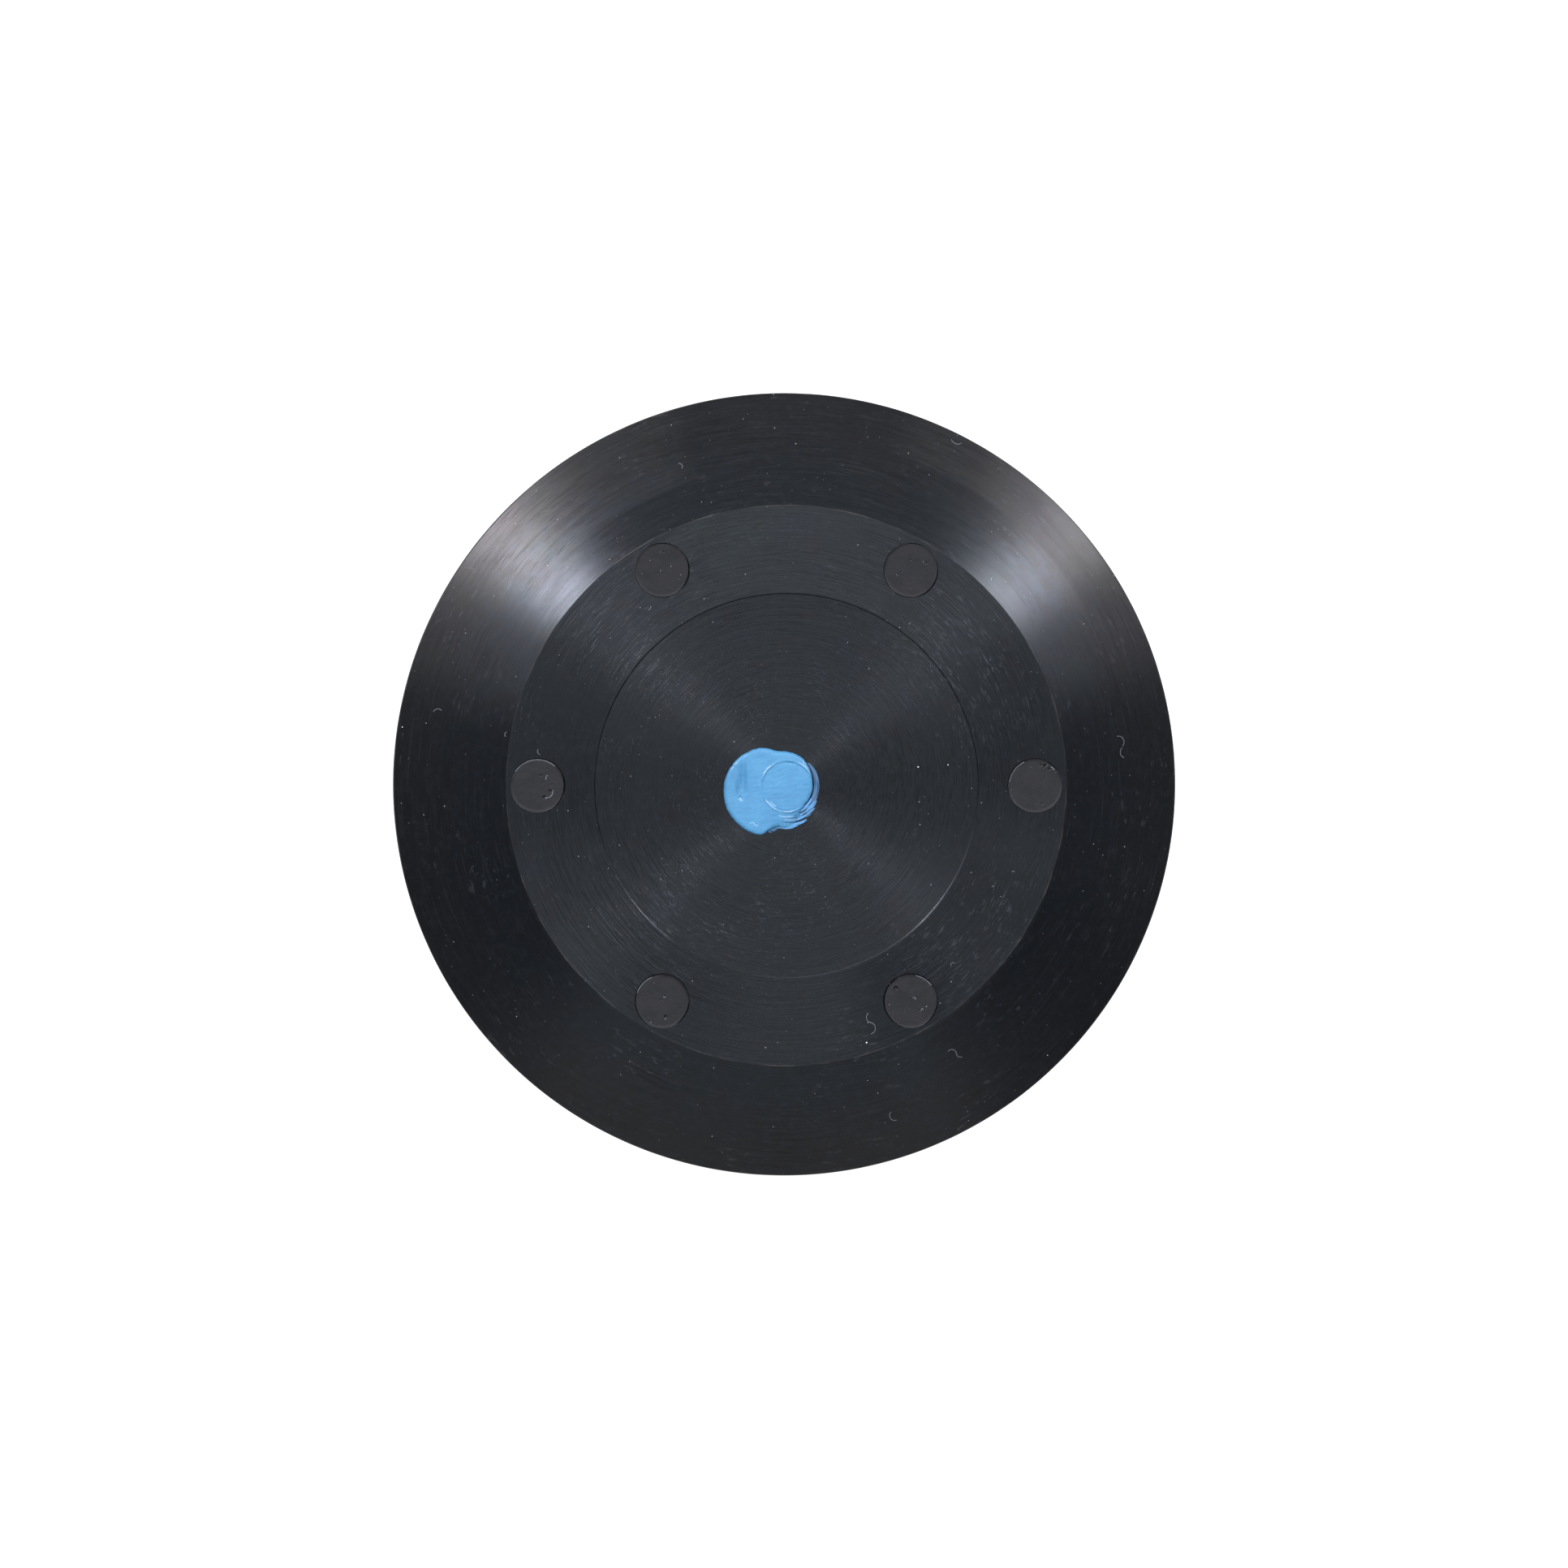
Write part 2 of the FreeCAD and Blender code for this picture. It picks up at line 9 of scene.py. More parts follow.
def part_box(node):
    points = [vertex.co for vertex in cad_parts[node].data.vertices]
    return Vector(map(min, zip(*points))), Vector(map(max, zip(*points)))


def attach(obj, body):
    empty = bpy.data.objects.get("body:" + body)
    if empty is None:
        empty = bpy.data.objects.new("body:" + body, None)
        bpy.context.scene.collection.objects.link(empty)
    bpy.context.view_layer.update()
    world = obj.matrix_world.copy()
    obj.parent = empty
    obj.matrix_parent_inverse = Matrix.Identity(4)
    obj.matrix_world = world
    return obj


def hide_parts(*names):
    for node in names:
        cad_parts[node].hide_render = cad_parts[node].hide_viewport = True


# Looks of the round air stone: turned black cap, potted screws, soft seal, porous ring and base.
#
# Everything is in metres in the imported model's frame: +Z up, the origin on the floor under the cap.
# Lists of small marks are in millimetres and degrees, as their comments say.

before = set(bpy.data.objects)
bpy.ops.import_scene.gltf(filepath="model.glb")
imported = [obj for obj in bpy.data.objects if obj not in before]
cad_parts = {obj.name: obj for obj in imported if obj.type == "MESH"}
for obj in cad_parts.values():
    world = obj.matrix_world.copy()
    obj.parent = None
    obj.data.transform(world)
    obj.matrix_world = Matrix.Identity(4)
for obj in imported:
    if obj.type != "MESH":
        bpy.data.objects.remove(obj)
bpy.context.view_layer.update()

MM = 0.001
TAU = math.tau

# Places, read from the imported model

cap_low, cap_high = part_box("top_cap")
stone_low, stone_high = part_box("stone_ring")
upper_low, upper_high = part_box("upper_gasket")
lower_low, lower_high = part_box("lower_gasket")
base_low, base_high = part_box("base_plate")
foot_low, foot_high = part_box("foot_ring")
seal_low, seal_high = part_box("inlet_seal")

CAP_RADIUS = cap_high.x
FLAT_TOP = cap_high.z
CAP_LOW = upper_high.z
HUB_LOW = cap_low.z
BASE_TOP = lower_low.z

# Sizes inside the pieces' boxes, which the boxes alone don't give.
FLAT_FALL = 0.25 * MM
CONE_DROP = 6.5 * MM
FLAT_EDGE = FLAT_TOP - FLAT_FALL
RIM_TOP = FLAT_TOP - CONE_DROP
FLAT_RADIUS = 35.7 * MM
STEP_RADIUS = 24.5 * MM
STEP_DEPTH = 0.1 * MM
STEP_TOP = FLAT_TOP - STEP_DEPTH
RIM_ROUND = 0.3 * MM
SPIGOT_RADIUS = 38.3 * MM
SPIGOT_INNER = 36.3 * MM
SPIGOT_HEIGHT = 2.0 * MM
HUB_RADIUS = 8.5 * MM
MOUTH_RADIUS = 3.4 * MM
MOUTH_LOW = FLAT_TOP - 3.0 * MM
INLET_RADIUS = 3.05 * MM
POCKET_RADIUS = 5.0 * MM
POCKET_TOP = HUB_LOW + 4.0 * MM
COUNTERBORE_RADIUS = 3.45 * MM
COUNTERBORE_DEPTH = 6.0 * MM
SHANK_HOLE = 1.7 * MM
BOLT_RADIUS = 31.7 * MM
SCREW_COUNT = 6
STONE_INNER = 38.6 * MM
GROOVE_INNER = 36.0 * MM
GROOVE_OUTER = 40.0 * MM
FOOT_GAP = 0.01 * MM

# Steps round the turned meshes, and the bend in degrees from which an edge is drawn sharp.
TURNED_STEPS = 512
HOLE_STEPS = 128
CREASE = 32
# A support reach longer than any side, so that no support points are added.
NO_SUPPORT = 10 * MM


# Mesh building

def shade(mesh, crease_degrees=CREASE):
    """Smooth faces, with sharp edges where the surface turns hard."""
    mesh.shade_smooth()
    mesh.set_sharp_from_angle(angle=math.radians(crease_degrees))


def finish_mesh(name, bm, crease_degrees=CREASE):
    """Turn a bmesh into a shaded object."""
    mesh = bpy.data.meshes.new(name)
    bmesh.ops.recalc_face_normals(bm, faces=bm.faces)
    bm.to_mesh(mesh)
    bm.free()
    shade(mesh, crease_degrees)
    piece = bpy.data.objects.new(name, mesh)
    bpy.context.scene.collection.objects.link(piece)
    return piece


def rounded_outline(corners, arc_steps=5):
    """Corners are (radius, height, rounding); give back the outline with its arcs worked out."""
    points = []
    count = len(corners)
    for index, (radius, height, rounding) in enumerate(corners):
        here = Vector((radius, height))
        if rounding <= 0:
            points.append(here)
            continue
        before = (Vector(corners[index - 1][:2]) - here).normalized()
        after = (Vector(corners[(index + 1) % count][:2]) - here).normalized()
        half = before.angle(after) / 2
        reach = rounding / math.tan(half)
        centre = here + (before + after).normalized() * (rounding / math.sin(half))
        start = here + before * reach - centre
        end = here + after * reach - centre
        sweep = start.angle(end)
        for step in range(arc_steps + 1):
            share = step / arc_steps
            blend = start * math.sin((1 - share) * sweep) + end * math.sin(share * sweep)
            points.append(centre + blend / math.sin(sweep))
    return points


def with_support(points, reach):
    """Add a point near each end of every long side, so that shading stays true along it."""
    result = []
    for index, here in enumerate(points):
        result.append(here)
        following = points[(index + 1) % len(points)]
        if (following - here).length > 4 * reach:
            along = (following - here).normalized() * reach
            result.extend([here + along, following - along])
    return result


def turned(name, corners, steps=TURNED_STEPS, support=0.12 * MM, crease_degrees=CREASE):
    """Spin a closed outline of (radius, height, rounding) corners about Z into a solid."""
    points = with_support(rounded_outline(corners), support)
    bm = bmesh.new()
    rings = []
    for point in points:
        if point.x < 1e-9:
            rings.append([bm.verts.new((0, 0, point.y))])
            continue
        ring = []
        for step in range(steps):
            angle = TAU * step / steps
            place = (point.x * math.cos(angle), point.x * math.sin(angle), point.y)
            ring.append(bm.verts.new(place))
        rings.append(ring)
    for index, ring in enumerate(rings):
        join_rings(bm, ring, rings[(index + 1) % len(rings)])
    return finish_mesh(name, bm, crease_degrees)


def join_rings(bm, first, second):
    """Faces between two rings of a turned mesh; a ring of one point is the axis."""
    if len(first) == 1 and len(second) == 1:
        return
    count = max(len(first), len(second))
    for index in range(count):
        following = (index + 1) % count
        if len(first) == 1:
            bm.faces.new((first[0], second[following], second[index]))
        elif len(second) == 1:
            bm.faces.new((first[index], first[following], second[0]))
        else:
            corners = (first[index], first[following], second[following], second[index])
            bm.faces.new(corners)


def combine(piece, other, operation):
    """Cut another solid out of a piece, or fuse it on, for good; then remove the other."""
    modifier = piece.modifiers.new("combine", "BOOLEAN")
    modifier.operation = operation
    modifier.solver = "EXACT"
    modifier.object = other
    apply_modifiers(piece)
    bpy.data.objects.remove(other)


def apply_modifiers(piece):
    """Make a piece's modifiers part of its mesh."""
    graph = bpy.context.evaluated_depsgraph_get()
    made = bpy.data.meshes.new_from_object(piece.evaluated_get(graph))
    piece.modifiers.clear()
    piece.data = made


# Materials

# A place in a material: object coordinates, the same split up, the radius from the Z axis, and
# the direction from the axis as its X and Y shares.
Polar = namedtuple("Polar", "place split radius across up")


class Nodes:
    """A short way to write a material's node tree."""

    def __init__(self, name):
        self.material = bpy.data.materials.new(name)
        self.material.use_nodes = True
        self.tree = self.material.node_tree
        self.shader = self.tree.nodes["Principled BSDF"]

    def add(self, kind, settings=None, **inputs):
        """Add a node; inputs are values or sockets, named with _ for a space."""
        node = self.tree.nodes.new(kind)
        for key, setting in (settings or {}).items():
            setattr(node, key, setting)
        for key, given in inputs.items():
            self.feed(node.inputs[key.replace("_", " ")], given)
        return node

    def feed(self, socket, given):
        """Link a socket, or set its value."""
        if isinstance(given, bpy.types.NodeSocket):
            self.tree.links.new(given, socket)
        else:
            socket.default_value = given

    def math(self, operation, first, second=0.0, third=0.0):
        """One Math node's result."""
        node = self.tree.nodes.new("ShaderNodeMath")
        node.operation = operation
        for socket, given in zip(node.inputs, (first, second, third)):
            self.feed(socket, given)
        return node.outputs[0]

    def vector(self, x, y, z):
        """Put three numbers together."""
        return self.add("ShaderNodeCombineXYZ", X=x, Y=y, Z=z).outputs[0]

    def noise(self, vector, scale, detail=2.0, roughness=0.5):
        """A noise texture's value."""
        node = self.add("ShaderNodeTexNoise", Vector=vector, Scale=scale, Detail=detail,
                        Roughness=roughness)
        return node.outputs["Fac"]

    def ramp(self, value, low, high, to_low=0.0, to_high=1.0):
        """Map a range of values onto another, held at its ends."""
        node = self.add("ShaderNodeMapRange", {"interpolation_type": "SMOOTHSTEP"}, Value=value,
                        From_Min=low, From_Max=high, To_Min=to_low, To_Max=to_high)
        return node.outputs["Result"]

    def mix(self, share, first, second):
        """Mix two colours."""
        node = self.tree.nodes.new("ShaderNodeMix")
        node.data_type = "RGBA"
        self.feed(node.inputs["Factor"], share)
        colours = [socket for socket in node.inputs if socket.type == "RGBA"]
        self.feed(colours[0], first)
        self.feed(colours[1], second)
        return next(socket for socket in node.outputs if socket.type == "RGBA")

    def times(self, first, second):
        """A product."""
        return self.math("MULTIPLY", first, second)

    def plus(self, first, second):
        """A sum."""
        return self.math("ADD", first, second)

    def put(self, name, value):
        """Set one of the shader's inputs, by a link or a plain value."""
        self.feed(self.shader.inputs[name], value)

    def length(self, x, y):
        """How long the step (x, y) is."""
        squares = self.plus(self.times(x, x), self.times(y, y))
        return self.math("SQRT", squares)

    def facing(self, x, y, degrees):
        """How far the step (x, y) goes in a direction, anticlockwise from +X."""
        toward = math.radians(degrees)
        return self.plus(self.times(x, math.cos(toward)), self.times(y, math.sin(toward)))

    def band(self, value, low, high, soft):
        """1 where a value lies between two others, with soft ends."""
        rising = self.ramp(value, low - soft, low + soft)
        falling = self.ramp(value, high - soft, high + soft, 1.0, 0.0)
        return self.times(rising, falling)

    def polar(self):
        """The place being shaded, round the Z axis."""
        place = self.add("ShaderNodeTexCoord").outputs["Object"]
        split = self.add("ShaderNodeSeparateXYZ", Vector=place)
        x, y = split.outputs["X"], split.outputs["Y"]
        radius = self.length(x, y)
        safe = self.math("MAXIMUM", radius, 1e-6)
        across = self.math("DIVIDE", x, safe)
        up = self.math("DIVIDE", y, safe)
        return Polar(place, split, radius, across, up)

    def direction(self, polar):
        """Degrees round the axis, anticlockwise from +X, from -180 to 180."""
        x, y = polar.split.outputs["X"], polar.split.outputs["Y"]
        return self.math("DEGREES", self.math("ARCTAN2", y, x))

    def rings(self, polar, pitch, sweep):
        """Noise drawn out round the axis: lines a pitch apart that fade along their length."""
        depth = self.plus(polar.radius, polar.split.outputs["Z"])
        turning = self.vector(
            self.times(polar.across, sweep),
            self.times(polar.up, sweep),
            self.math("DIVIDE", depth, pitch),
        )
        return self.noise(turning, 1.0, 2.0, 0.6)

    def bump(self, height, distance, strength=1.0):
        """A bump from a height."""
        node = self.add("ShaderNodeBump", Height=height, Distance=distance, Strength=strength)
        return node.outputs["Normal"]


def colour(red, green, blue):
    """An opaque colour."""
    return (red, green, blue, 1.0)


BLACK = colour(0.0, 0.0, 0.0)


def scaled(base, share):
    """A colour made lighter or darker."""
    return colour(*(share * part for part in base[:3]))


# How much darker the ring lines reflect than the surface between them, where least and most.
RING_CONTRAST = (0.03, 0.24)

# Places on the cap that look duller or brighter than the rest from above: direction and half
# width in degrees, inner and outer radius in millimetres, and the change in what they reflect.
UNEVEN = [
    (-47, 32, 24.6, 35.6, -0.36),
    (-40, 26, 36.0, 50.0, -0.40),
    (-150, 28, 36.0, 50.0, -0.22),
    (167, 32, 24.6, 35.6, -0.22),
    (14, 26, 24.6, 35.6, -0.20),
    (-120, 24, 24.6, 35.6, -0.12),
    (46, 20, 24.6, 35.6, -0.14),
    (86, 50, 24.6, 35.6, 0.16),
    (119, 15, 40.5, 50.5, 0.45),
    (61, 13, 44.5, 50.5, 0.45),
    (38, 12, 44.5, 50.5, -0.17),
]


def uneven_shine(nodes, polar):
    """How strongly the cap reflects, 1 for most of it."""
    tone = 1.0
    for direction, half_width, inner, outer, change in UNEVEN:
        facing = nodes.facing(polar.across, polar.up, direction)
        edge = math.cos(math.radians(half_width))
        core = math.cos(math.radians(0.3 * half_width))
        near = nodes.ramp(facing, edge, core, 0.0, change)
        within = nodes.band(polar.radius, inner * MM, outer * MM, 0.3 * MM)
        tone = nodes.plus(nodes.times(near, within), tone)
    return tone


# A turned surface's material so far, for more to be painted on it.
Turned = namedtuple("Turned", "nodes polar sheen tint")


def turned_plastic(name, base, roughness, anisotropy):
    """Black acetal off the lathe: ring marks that stretch each highlight away from the axis."""
    nodes = Nodes(name)
    polar = nodes.polar()
    fine = nodes.rings(polar, 0.17 * MM, 6.0)
    coarse = nodes.rings(polar, 0.62 * MM, 2.6)
    patchy = nodes.ramp(nodes.noise(polar.place, 110.0, 3.0), 0.36, 0.60, 0.25, 1.0)
    grooves = nodes.times(nodes.ramp(fine, 0.56, 0.70), patchy)
    relief = nodes.plus(nodes.times(fine, 0.8), nodes.times(grooves, -0.45))
    relief = nodes.plus(relief, nodes.times(coarse, 0.9))
    nodes.put("Normal", nodes.bump(relief, 0.030 * MM))
    wear = nodes.noise(polar.place, 620.0, 4.0)
    broad = nodes.noise(polar.place, 75.0)
    mottle = nodes.plus(wear, broad)
    gloss = nodes.ramp(mottle, 0.75, 1.25, roughness - 0.008, roughness + 0.008)
    gloss = nodes.plus(gloss, nodes.ramp(polar.radius, 36 * MM, 48 * MM, 0.0, 0.02))
    gloss = nodes.plus(gloss, nodes.ramp(coarse, 0.35, 0.65, -0.008, 0.008))
    nodes.put("Roughness", gloss)
    sheen = turned_sheen(nodes, polar, wear, broad)
    nodes.put("Specular Tint", sheen)
    tint = turned_tint(nodes, polar, base, grooves)
    nodes.put("Base Color", tint)
    tangent = nodes.add("ShaderNodeTangent", {"direction_type": "RADIAL", "axis": "Z"})
    nodes.put("Tangent", tangent.outputs[0])
    nodes.put("Anisotropic", anisotropy)
    nodes.put("Anisotropic Rotation", 0.25)
    nodes.put("IOR", 1.48)
    return Turned(nodes, polar, sheen, tint)


def turned_sheen(nodes, polar, wear, broad):
    """Colour of a turned surface's reflections: cool inside, warm near the rim, ringed."""
    warm = nodes.plus(nodes.ramp(polar.radius, 38 * MM, 49 * MM, 0.0, 0.5), wear)
    sheen = nodes.mix(nodes.ramp(warm, 0.45, 1.0), colour(0.92, 0.96, 1.0), colour(1.0, 0.93, 0.87))
    patches = nodes.add("ShaderNodeTexNoise", Vector=polar.place, Scale=150.0, Detail=3.0)
    sheen = nodes.mix(0.12, sheen, patches.outputs["Color"])
    inner_disc = nodes.ramp(polar.radius, 24 * MM, 25 * MM, 0.06, 0.0)
    sheen = nodes.mix(inner_disc, sheen, BLACK)
    lines = nodes.rings(polar, 0.22 * MM, 7.0)
    contrast = nodes.ramp(broad, 0.42, 0.64, *RING_CONTRAST)
    on_cone = nodes.ramp(polar.radius, 35 * MM, 36 * MM, 1.0, 0.85)
    contrast = nodes.times(contrast, on_cone)
    dull = nodes.times(nodes.ramp(lines, 0.36, 0.58, 1.0, 0.0), contrast)
    return nodes.mix(dull, sheen, BLACK)


def turned_tint(nodes, polar, base, grooves):
    """Colour of the plastic: haze, pale grooves, dust, and short scratches in patches that carry a
    painted highlight.
    """
    haze = nodes.ramp(nodes.noise(polar.place, 900.0, 5.0, 0.6), 0.45, 0.75, 0.0, 0.7)
    tint = nodes.mix(haze, base, scaled(base, 2.0))
    tint = nodes.mix(nodes.times(grooves, 0.12), tint, colour(0.040, 0.043, 0.050))
    # Short scratches along the ring marks, in patches: real scratches painted lighter, a painted
    # highlight where they catch the light.
    scratch_glints = nodes.ramp(nodes.rings(polar, 0.30 * MM, 24.0), 0.58, 0.70)
    glint_patches = nodes.ramp(nodes.noise(polar.place, 130.0, 3.0), 0.50, 0.64)
    tint = nodes.mix(nodes.times(scratch_glints, glint_patches), tint, colour(0.022, 0.024, 0.027))
    return add_dust(nodes, polar.place, tint)


def add_dust(nodes, place, tint):
    """Dust: many faint specks under a tenth of a millimetre and a few bright larger ones."""
    for scale, reach, keep_from, share, paint in (
        (1250.0, 0.095, 0.50, 0.6, colour(0.12, 0.125, 0.14)),
        (760.0, 0.062, 0.35, 0.8, colour(0.30, 0.31, 0.33)),
        (290.0, 0.030, 0.45, 1.0, colour(0.80, 0.81, 0.83)),
    ):
        cells = nodes.add("ShaderNodeTexVoronoi", Vector=place, Scale=scale)
        keep = nodes.add("ShaderNodeSeparateColor", Color=cells.outputs["Color"]).outputs[0]
        size = nodes.times(nodes.ramp(keep, keep_from, 1.0), reach)
        inside = nodes.math("LESS_THAN", cells.outputs["Distance"], size)
        tint = nodes.mix(nodes.times(inside, share), tint, paint)
    return tint


# Lint fibres lying on the cap, in millimetres and degrees: middle of the curl, its radius, the
# way it faces and half the angle it spans.
LINT = [
    (42.5, 5.5, 0.75, 30, 75), (43.5, 4.2, 0.75, 190, 60), (28.9, -11.1, 0.2, 90, 60),
    (21.3, -22.9, 0.35, 120, 70), (-16.7, 8.7, 0.03, 0, 180), (-1.1, -32.7, 0.03, 0, 180),
    (10.6, -30.9, 0.75, 20, 95), (10.9, -29.5, 0.7, 200, 70),
    (14.0, -42.2, 0.65, 215, 80), (21.2, -34.3, 0.6, 70, 75), (22.3, -34.2, 0.5, 240, 60),
    (22.1, 44.4, 0.9, 250, 50), (-13.6, 40.6, 0.4, 30, 70), (-44.3, 9.1, 0.6, 100, 60),
    (-31.3, 4.35, 0.4, 200, 60), (-35.5, 6.5, 0.35, 170, 60), (-17.8, 22.8, 0.5, 330, 40),
]
# Painted highlights on the potting: glints in the burst bubbles and light arcs along the plugs'
# edges, given in the same way.
GLINTS = [
    (-30.55, -0.75, 0.80, -35, 48), (-30.60, -1.55, 0.06, 0, 180), (-30.9, 0.95, 0.30, 0, 40),
    (-31.7, 0.0, 3.32, 98, 50), (31.7, 0.0, 3.32, 143, 28), (-15.85, -27.45, 3.32, 137, 24),
    (15.85, -27.45, 3.32, 58, 20), (33.75, 2.05, 0.30, 45, 60), (33.2, 2.6, 0.05, 0, 180),
    (16.25, -27.2, 0.22, 70, 80), (17.9, -28.1, 0.03, 0, 180), (17.35, -28.6, 0.15, 120, 80),
    (-14.85, 27.9, 0.12, 20, 60), (-16.1, 27.3, 0.01, 0, 180), (17.4, 28.5, 0.02, 0, 180),
    (14.0, 26.9, 0.02, 0, 180), (-15.5, -26.8, 0.14, 250, 80), (-15.4, -29.7, 0.03, 0, 180),
]
# Painted highlights on the seal: glints round its disc, in its dents and at its wiped edge.
SEAL_GLINTS = [
    (0.04, -0.06, 3.31, 143, 14), (0.04, -0.06, 3.24, 128, 9), (0.04, -0.06, 3.33, 262, 19),
    (0.04, -0.06, 3.22, 275, 12), (0.04, -0.06, 3.30, 236, 7), (0.04, -0.06, 3.38, 48, 16),
    (0.3, -0.2, 2.95, 226, 9), (-5.65, -1.60, 0.28, 215, 60), (0.1, 0.1, 4.05, 268, 14),
    (0.1, 0.1, 4.45, 275, 10), (-4.4, -4.9, 0.25, 90, 80), (-3.6, -4.3, 0.8, 240, 30),
]
FIBRE_WIDTH = 0.045 * MM


def add_curls(nodes, split, tint, curls, share, paint, width=FIBRE_WIDTH):
    """Paint short curved lines that reach a width to either side of their arcs."""
    total = 0.0
    for x, y, radius, middle, half_angle in curls:
        across = nodes.math("SUBTRACT", split.outputs["X"], x * MM)
        up = nodes.math("SUBTRACT", split.outputs["Y"], y * MM)
        away = nodes.length(across, up)
        on_curl = nodes.math("COMPARE", away, radius * MM, width)
        along = nodes.facing(across, up, middle)
        limit = nodes.times(away, math.cos(math.radians(half_angle)))
        fibre = nodes.times(on_curl, nodes.math("GREATER_THAN", along, limit))
        total = nodes.math("MAXIMUM", fibre, total)
    return nodes.mix(nodes.times(total, share), tint, paint)


def add_edge_wear_and_highlights(nodes, polar, tint):
    """Pale lines at the edges: uneven brownish lines at the flat and the rim, partly wear and partly
    painted highlight, and a paler painted highlight on the step.
    """
    height = polar.split.outputs["Z"]
    uneven = nodes.ramp(nodes.noise(polar.place, 260.0, 5.0), 0.42, 0.70, 0.05, 0.9)
    above = nodes.math("GREATER_THAN", height, RIM_TOP)
    on_edge = nodes.band(polar.radius, FLAT_RADIUS - 0.08 * MM, FLAT_RADIUS + 0.06 * MM, 0.05 * MM)
    on_rim = nodes.math("GREATER_THAN", polar.radius, CAP_RADIUS - 0.14 * MM)
    on_rim = nodes.times(on_rim, nodes.math("GREATER_THAN", height, RIM_TOP - RIM_ROUND))
    wear_and_highlight = nodes.math("MAXIMUM", nodes.times(on_edge, above), on_rim)
    # Brownish lines at the flat's edge and the rim: partly wear, partly painted highlight.
    tint = nodes.mix(nodes.times(wear_and_highlight, uneven), tint, colour(0.060, 0.054, 0.048))
    # Paler line on the step, painted only on its lower right where the step catches the light: a
    # painted highlight.
    on_step = nodes.band(polar.radius, STEP_RADIUS - 0.10 * MM, STEP_RADIUS, 0.02 * MM)
    lower_right = nodes.band(nodes.direction(polar), -100.0, -8.0, 14.0)
    on_step = nodes.times(on_step, lower_right)
    step_highlight = nodes.times(on_step, above)
    return nodes.mix(nodes.times(step_highlight, 0.7), tint, colour(0.048, 0.052, 0.057))


# Places on the flat face where short scratches carry a painted highlight, where they catch the light:
# the direction of each and its middle radius and half width in millimetres.
GLINT_SCRATCH_PLACES = [(-38, 30.5, 5.0), (35, 26.5, 7.0), (130, 29.5, 5.0), (-128, 22.0, 6.0), (-88, 12.0, 6.0)]


def add_scratch_glints(nodes, polar, tint):
    """Short pale scratches along the ring marks, crowded together in these places: real scratches
    with a painted highlight.
    """
    total = 0.0
    for direction, middle, half_width in GLINT_SCRATCH_PLACES:
        near = nodes.ramp(nodes.facing(polar.across, polar.up, direction), 0.90, 0.985)
        low, high = (middle - half_width) * MM, (middle + half_width) * MM
        glint_patches = nodes.times(near, nodes.band(polar.radius, low, high, 2.0 * MM))
        total = nodes.math("MAXIMUM", glint_patches, total)
    uneven = nodes.ramp(nodes.noise(polar.place, 420.0), 0.40, 0.62)
    scratch_glints = nodes.ramp(nodes.rings(polar, 0.24 * MM, 20.0), 0.55, 0.66)
    share = nodes.times(nodes.times(scratch_glints, uneven), total)
    # Painted highlight: the scratches drawn pale.
    return nodes.mix(nodes.times(share, 0.85), tint, colour(0.036, 0.039, 0.043))


def add_smear(nodes, polar, tint):
    """Thin streaks of the blue compound: a film below the inlet and a crescent to its right."""
    angle = nodes.direction(polar)
    depth = nodes.math("DIVIDE", polar.radius, 0.20 * MM)
    wiped = nodes.vector(nodes.times(polar.across, 1.3), nodes.times(polar.up, 1.3), depth)
    streaks = nodes.noise(wiped, 1.0, 2.0, 0.6)
    film = smear_film(nodes, polar, angle, streaks)
    crescent = smear_crescent(nodes, polar, angle, streaks)
    on_face = nodes.math("GREATER_THAN", polar.split.outputs["Z"], STEP_TOP - 0.05 * MM)
    share = nodes.times(nodes.math("MAXIMUM", film, crescent), on_face)
    blue = nodes.mix(crescent, colour(0.125, 0.36, 0.66), colour(0.16, 0.27, 0.47))
    return nodes.mix(share, tint, blue)


def smear_film(nodes, polar, angle, streaks):
    """Streaked film below the inlet, wider and denser towards its left end."""
    thick_end = nodes.ramp(angle, -92.0, -8.0, 1.0, 0.0)
    outer = nodes.plus(4.15 * MM, nodes.times(thick_end, 1.25 * MM))
    outer = nodes.plus(outer, nodes.ramp(angle, -112.0, -97.0, 0.95 * MM, 0.0))
    outer = nodes.plus(outer, nodes.ramp(streaks, 0.3, 0.7, -0.12 * MM, 0.12 * MM))
    inside = nodes.math("LESS_THAN", polar.radius, outer)
    in_film = nodes.times(nodes.band(angle, -113.0, -27.0, 2.0), inside)
    threshold = nodes.math("SUBTRACT", 0.50, nodes.times(thick_end, 0.08))
    over = nodes.math("SUBTRACT", streaks, threshold)
    film = nodes.times(in_film, nodes.ramp(over, -0.02, 0.05))
    return nodes.times(film, nodes.ramp(angle, -104.0, -92.0, 0.45, 1.0))


def smear_crescent(nodes, polar, angle, streaks):
    """Thin crescent right of the inlet, with a clear gap between it and the seal's disc."""
    outer = nodes.plus(3.40 * MM, nodes.ramp(angle, 34.0, 70.0, 0.76 * MM, 0.2 * MM))
    inside = nodes.math("LESS_THAN", polar.radius, outer)
    within = nodes.times(nodes.band(angle, -32.0, 62.0, 4.0), inside)
    thin = nodes.ramp(streaks, 0.40, 0.56, 0.20, 0.66)
    gap = nodes.ramp(angle, 8.0, 54.0, 3.50 * MM, 3.95 * MM)
    past_gap = nodes.math("GREATER_THAN", polar.radius, gap)
    return nodes.times(nodes.times(within, thin), past_gap)


def dress(piece, material, body="stone_body", replaces=()):
    """Give a piece its material, its body and the nodes it stands for."""
    piece.data.materials.clear()
    piece.data.materials.append(material)
    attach(piece, body)
    if replaces:
        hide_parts(*replaces)


# Pieces

